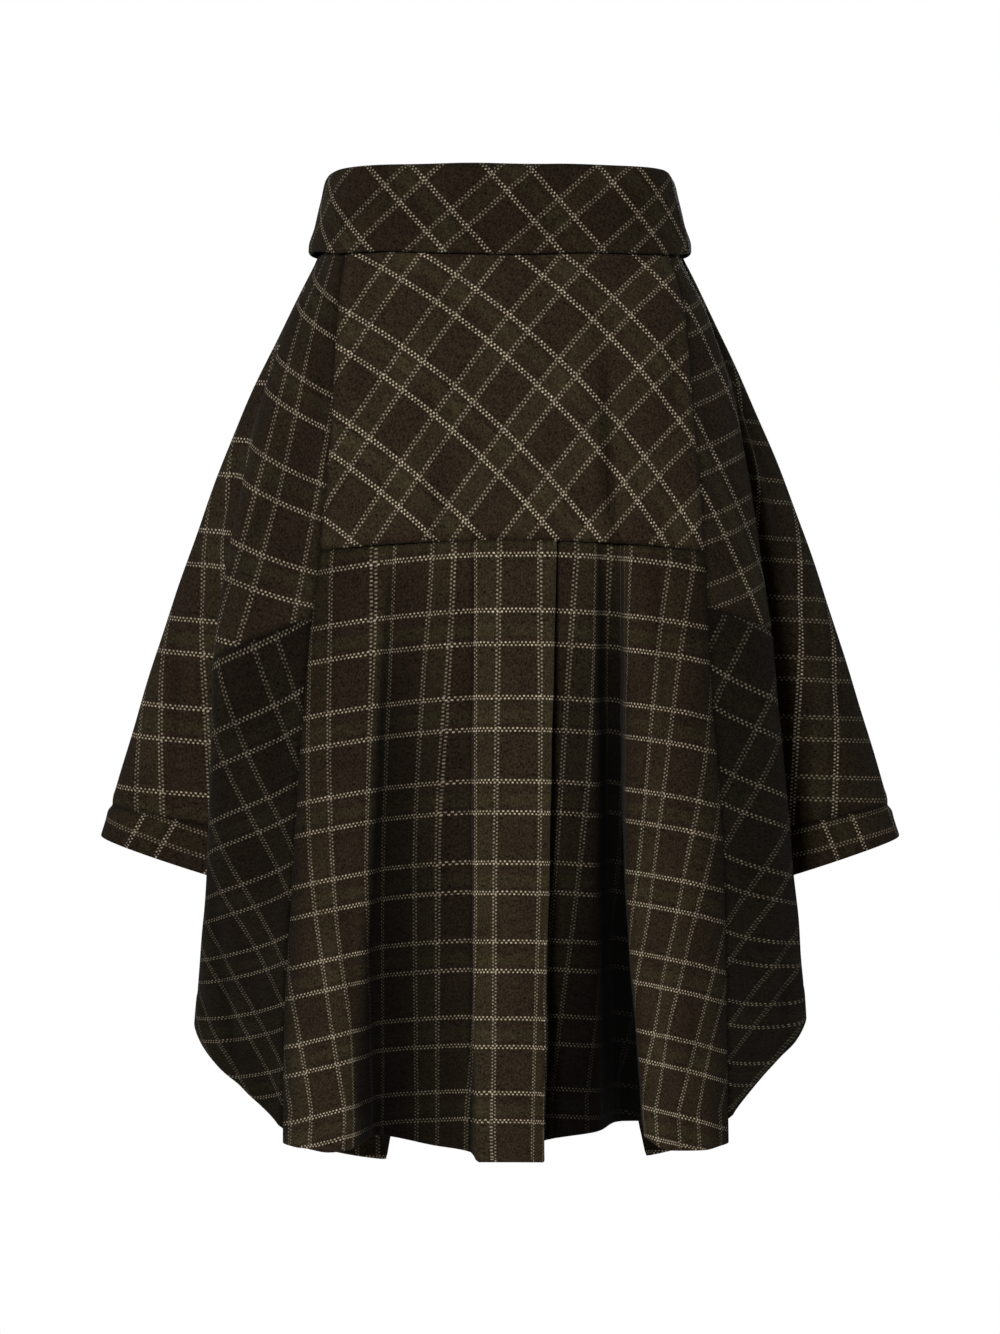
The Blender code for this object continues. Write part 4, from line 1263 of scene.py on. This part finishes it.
def dotted_line(tree, off_centre, along):
    """Mask of a line of two columns of floats, from the distance off its centre."""
    column = sum_up(tree, "SUBTRACT", sum_up(tree, "ABSOLUTE", off_centre), COLUMN_OFF)
    inside = soft_step(tree, sum_up(tree, "ABSOLUTE", column), COLUMN_HALF - COLUMN_SOFT,
                       COLUMN_HALF + COLUMN_SOFT, 1.0, 0.0)
    side = sum_up(tree, "SIGN", off_centre)
    beat = sum_up(tree, "SINE", sum_up(tree, "MULTIPLY", along, 2 * math.pi / FLOAT_STEP))
    floats = soft_step(tree, sum_up(tree, "MULTIPLY", beat, side), 0.0, 0.55)
    return sum_up(tree, "MULTIPLY", inside, floats)


def check_group():
    """Masks of the olive bands and of the cream lines."""
    tree, given, result = effect("woven_check", [("Cloth", "Vector", None), ("Wobble", "Float", 0.0006)],
                                 [("Olive", "Float"), ("Cream", "Float")])
    cloth, wobble = given.outputs["Cloth"], given.outputs["Wobble"]
    drift = wire(tree, "ShaderNodeTexNoise", cloth, None, 110.0, 2.0, out=1)
    shift = wire(tree, "ShaderNodeVectorMath", drift, (0.5, 0.5, 0.5), operation="SUBTRACT")
    scaled = tree.nodes.new("ShaderNodeVectorMath")
    scaled.operation = "SCALE"
    tree.links.new(shift, scaled.inputs[0])
    tree.links.new(wobble, scaled.inputs["Scale"])
    moved = wire(tree, "ShaderNodeVectorMath", cloth, scaled.outputs[0], operation="ADD")
    parts = tree.nodes.new("ShaderNodeSeparateXYZ")
    tree.links.new(moved, parts.inputs[0])
    warp, weft = parts.outputs[0], parts.outputs[1]
    warp_off = sum_up(tree, "PINGPONG", warp, WARP_REPEAT / 2)
    weft_off = sum_up(tree, "PINGPONG", weft, WEFT_REPEAT / 2)
    weft_turn = sum_up(tree, "WRAP", weft, WEFT_REPEAT / 2, -WEFT_REPEAT / 2)
    warp_band = soft_step(tree, warp_off, WARP_BAND - 0.0012, WARP_BAND + 0.0006, 1.0, 0.0)
    low, high = (soft_step(tree, weft_turn, edge - CORE_SOFT, edge + CORE_SOFT, *ends)
                 for edge, ends in zip(WEFT_CORE, ((0.0, 1.0), (1.0, 0.0))))
    weft_core = sum_up(tree, "MULTIPLY", low, high)
    olive = weigh(tree, (warp_band, WARP_OLIVE), (weft_core, WEFT_OLIVE), clamp=True)
    warp_line = dotted_line(tree, sum_up(tree, "SUBTRACT", warp_off, WARP_BAND), weft)
    weft_line = dotted_line(tree, sum_up(tree, "SUBTRACT", weft_off, WEFT_BAND), warp)
    cream = sum_up(tree, "MAXIMUM", sum_up(tree, "MULTIPLY", warp_line, WARP_CREAM),
                   sum_up(tree, "MULTIPLY", weft_line, WEFT_CREAM))
    tree.links.new(olive, result.inputs["Olive"])
    tree.links.new(cream, result.inputs["Cream"])
    return tree


CHECK = check_group()
print("check:", len(CHECK.nodes), "nodes")

# %% [markdown]
# ## The brushed nap
#
# Brushed wool hides its weave under short fibres. Fine noise about a millimetre wide makes the
# nap, a little streaky along the warp; a slower noise makes it lighter where it was rubbed and
# darker where it lies flat. A faint twill shows through in the relief.

# %% Nap group
TWILL = 0.0021
FIBRES, TUFTS, RUBBED = 4.6, 1.3, 0.8
NAP_SHIFT, NAP_LEAST = 2.35, 0.12


def nap_group():
    """Lightness of the nap, and the height of nap and twill."""
    tree, given, result = effect("brushed_nap", [("Cloth", "Vector", None), ("Cream", "Float", 0.0)],
                                 [("Light", "Float"), ("Height", "Float")])
    cloth = given.outputs["Cloth"]
    streaky = wire(tree, "ShaderNodeMapping", cloth, None, None, (1.0, 0.62, 1.0))
    fibres = wire(tree, "ShaderNodeTexNoise", streaky, None, 640.0, 3.0, 0.70)
    tufts = wire(tree, "ShaderNodeTexNoise", cloth, None, 170.0, 2.0, 0.6)
    rubbed = wire(tree, "ShaderNodeTexNoise", cloth, None, 22.0, 3.0, 0.55)
    parts = tree.nodes.new("ShaderNodeSeparateXYZ")
    tree.links.new(cloth, parts.inputs[0])
    slant = sum_up(tree, "ADD", parts.outputs[0], parts.outputs[1])
    twill = sum_up(tree, "SINE", sum_up(tree, "MULTIPLY", slant, 2 * math.pi / TWILL))
    light = weigh(tree, (fibres, FIBRES), (tufts, TUFTS), (rubbed, RUBBED))
    light = sum_up(tree, "MAXIMUM", sum_up(tree, "SUBTRACT", light, NAP_SHIFT), NAP_LEAST)
    height = weigh(tree, (fibres, 1), (twill, 0.07), (given.outputs["Cream"], 0.35))
    tree.links.new(light, result.inputs["Light"])
    tree.links.new(height, result.inputs["Height"])
    return tree


NAP = nap_group()
print("nap:", len(NAP.nodes), "nodes")

# %% [markdown]
# ## The wool
#
# One cloth, but each piece gets its own material with its own painted shade: pieces that turn
# away from the lamps, such as the lower sides, have their dyes darkened. In creases, along seams
# and inside deep pleats the colour is darkened too, as painted shade, by a tone kept on the points
# of each piece. Wool is rough and hardly shiny, and its fibres catch a little light at the edge of
# a roll: that is the sheen.

# %% Wool material
BROWN = (0.0250, 0.0165, 0.0097)
OLIVE = (0.0345, 0.0280, 0.0135)
CREAM = (0.620, 0.520, 0.370)
# Painted shade: a darker colour for each piece that turns away from the light.
SHADE = {"collar": 0.72, "side_back_left": 0.68, "side_back_right": 0.72, "side_lower_left": 0.34,
         "side_lower_right": 0.36, "sleeve_left": 0.82, "sleeve_right": 0.66, "cuff_left": 0.66,
         "cuff_right": 0.66, "front_left": 0.72, "front_right": 0.72}


def wool(name, shade_factor=1.0):
    """The checked wool for one piece."""
    made, tree, shader = blank(name)
    cloth = wire(tree, "ShaderNodeUVMap", uv_map="cloth")
    check, nap = place(tree, CHECK), place(tree, NAP)
    for node in (check, nap):
        tree.links.new(cloth, node.inputs["Cloth"])
    tree.links.new(check.outputs["Cream"], nap.inputs["Cream"])
    # Painted shade: the dyes of this piece are darkened by its shade factor.
    brown, olive, cream = (tuple(v * shade_factor for v in dye) + (1.0,) for dye in (BROWN, OLIVE, CREAM))
    ground = blend(tree, check.outputs["Olive"], brown, olive)
    dyed = blend(tree, check.outputs["Cream"], ground, cream)
    grey = wire(tree, "ShaderNodeCombineColor", *[nap.outputs["Light"]] * 3)
    napped = blend(tree, 1.0, dyed, grey, "MULTIPLY")
    # Painted shade: the colour is darkened by the shade kept on the points.
    tone = wire(tree, "ShaderNodeAttribute", attribute_name="painted_shade", out=2)
    shade_paint = wire(tree, "ShaderNodeCombineColor", *[tone] * 3)
    colour = blend(tree, 1.0, napped, shade_paint, "MULTIPLY")
    tree.links.new(colour, shader.inputs["Base Color"])
    emboss(tree, shader, nap.outputs["Height"], 0.5, 0.0009)
    for key, value in (("Roughness", 0.95), ("Specular IOR Level", 0.05),
                       ("Sheen Weight", 0.015), ("Sheen Roughness", 0.5)):
        shader.inputs[key].default_value = value
    return made


for name, panel in PANELS.items():
    if "outer" in panel:
        panel["piece"].data.materials.append(wool(name + "_wool", SHADE.get(name, 1.0)))
print("wool on", sum("outer" in p for p in PANELS.values()), "pieces")

# %% [markdown]
# ## Horn and thread
#
# The buttons are polished dark horn: a soft gloss, and faint lighter streaks that run through
# the material. The thread is dull brown, with a twist that shows as a fine slanting relief.

# %% Button and thread materials
def horn():
    """Polished dark horn with cloudy streaks."""
    made, tree, shader = blank("horn")
    spot = wire(tree, "ShaderNodeTexCoord", out=3)
    stretched = wire(tree, "ShaderNodeMapping", spot, None, (0.3, 0.2, 0.9), (1.0, 3.0, 1.0))
    cloud = wire(tree, "ShaderNodeTexNoise", stretched, None, 130.0, 4.0, 0.6)
    amount = soft_step(tree, cloud, 0.42, 0.70)
    colour = blend(tree, amount, (0.012, 0.007, 0.004, 1.0), (0.050, 0.028, 0.014, 1.0))
    tree.links.new(colour, shader.inputs["Base Color"])
    worn = wire(tree, "ShaderNodeTexNoise", spot, None, 900.0, 2.0, 0.5)
    gloss = wire(tree, "ShaderNodeMapRange", worn, 0.3, 0.7, 0.22, 0.38)
    tree.links.new(gloss, shader.inputs["Roughness"])
    return made


def thread_twist():
    """Twisted sewing thread."""
    made, tree, shader = blank("thread")
    spot = wire(tree, "ShaderNodeTexCoord", out=3)
    fuzz = wire(tree, "ShaderNodeTexNoise", spot, None, 1800.0, 2.0, 0.6)
    colour = blend(tree, fuzz, (0.016, 0.010, 0.006, 1.0), (0.060, 0.042, 0.028, 1.0))
    tree.links.new(colour, shader.inputs["Base Color"])
    shader.inputs["Roughness"].default_value = 0.85
    twist = wire(tree, "ShaderNodeTexWave", spot, 1400.0, 1.0, bands_direction="DIAGONAL")
    emboss(tree, shader, twist, 0.6, 0.0002)
    return made


HORN, THREAD = horn(), thread_twist()
for name, height, side in BUTTONS:
    PANELS[name]["piece"].data.materials.append(HORN)
    PANELS[name]["thread"].data.materials.append(THREAD)
for oval in HOLES:
    oval.data.materials.append(THREAD)
print("horn and thread on", len(BUTTONS), "buttons")

# %% [markdown]
# ## What each cloth hangs from
#
# A table lists what each cloth piece hangs from. The yoke and collar hang from the neckline,
# the rest hangs from the piece above it.

HANGS_FROM = {
    "collar": ("back_yoke", "front_left", "front_right"), "back_yoke": ("collar",),
    "back_panel": ("back_yoke",),
    "side_back_left": ("back_yoke",), "side_lower_left": ("side_back_left",),
    "side_back_right": ("back_yoke",), "side_lower_right": ("side_back_right",),
    "front_left": ("collar",), "front_right": ("collar",),
    "sleeve_left": ("side_back_left", "front_left"), "cuff_left": ("sleeve_left",),
    "sleeve_right": ("side_back_right", "front_right"), "cuff_right": ("sleeve_right",),
}
for name, above in HANGS_FROM.items():
    panel = PANELS[name]
print("sheets:", len(HANGS_FROM))

# %% [markdown]
# ## Floor and light
#
# A product picture of a dark coat is lit softly from the camera's side, by a large lamp a little
# above the camera and to its left, so that rolled sides and deep pleats fall off to almost
# black. A second lamp lights the coat's front, two weaker ones its sides, and low light from all
# round keeps the shadows readable. The floor is plain.

# %% Floor, world and lamps
FLOOR_HEIGHT, FLOOR_RADIUS, FLOOR_STEPS = -1.35, 1.15, 96
AMBIENT = 0.07


def floor():
    """A plain pale round floor under the coat."""
    mesh = bpy.data.meshes.new("floor")
    rim = [(FLOOR_RADIUS * math.cos(a), FLOOR_RADIUS * math.sin(a), FLOOR_HEIGHT)
           for a in np.linspace(0, 2 * math.pi, FLOOR_STEPS + 1)[:-1]]
    mesh.from_pydata(rim, [], [tuple(range(FLOOR_STEPS))])
    made = add("floor", mesh)
    paper, tree, shader = blank("pale_floor")
    grain = wire(tree, "ShaderNodeTexNoise", None, None, 40.0, 2.0)
    tone = blend(tree, grain, (0.80, 0.80, 0.79, 1.0), (0.84, 0.84, 0.83, 1.0))
    tree.links.new(tone, shader.inputs["Base Color"])
    shader.inputs["Roughness"].default_value = 0.9
    made.data.materials.append(paper)


def white_surroundings():
    """White behind the coat, and a lower even light from all round."""
    world = bpy.data.worlds.new("studio")
    world.use_nodes = True
    bpy.context.scene.world = world
    tree = world.node_tree
    ray = tree.nodes.new("ShaderNodeLightPath")
    strength = sum_up(tree, "MAXIMUM", ray.outputs["Is Camera Ray"], AMBIENT)
    back = tree.nodes["Background"]
    back.inputs["Color"].default_value = (1.0, 1.0, 1.0, 1.0)
    tree.links.new(strength, back.inputs["Strength"])


def lamp(name, where, target, size, power):
    """A large soft lamp that looks at a target."""
    light = bpy.data.lights.new(name, "AREA")
    light.shape, light.size, light.energy = "DISK", size, power
    made = add(name, light)
    made.location = where
    made.rotation_euler = (Vector(target) - Vector(where)).to_track_quat("-Z", "Y").to_euler()


floor()
white_surroundings()
lamp("key", (0.75, 3.1, 0.25), (0.0, 0.15, -0.45), 0.8, 88.0)
lamp("front_fill", (-0.6, -3.0, 0.6), (0.0, -0.1, -0.45), 1.4, 84.0)
lamp("left_fill", (3.0, -0.9, 0.3), (0.0, 0.0, -0.5), 1.2, 22.0)
lamp("right_fill", (-3.0, -0.9, 0.3), (0.0, 0.0, -0.5), 1.2, 22.0)
bpy.context.scene.view_settings.view_transform = "Standard"
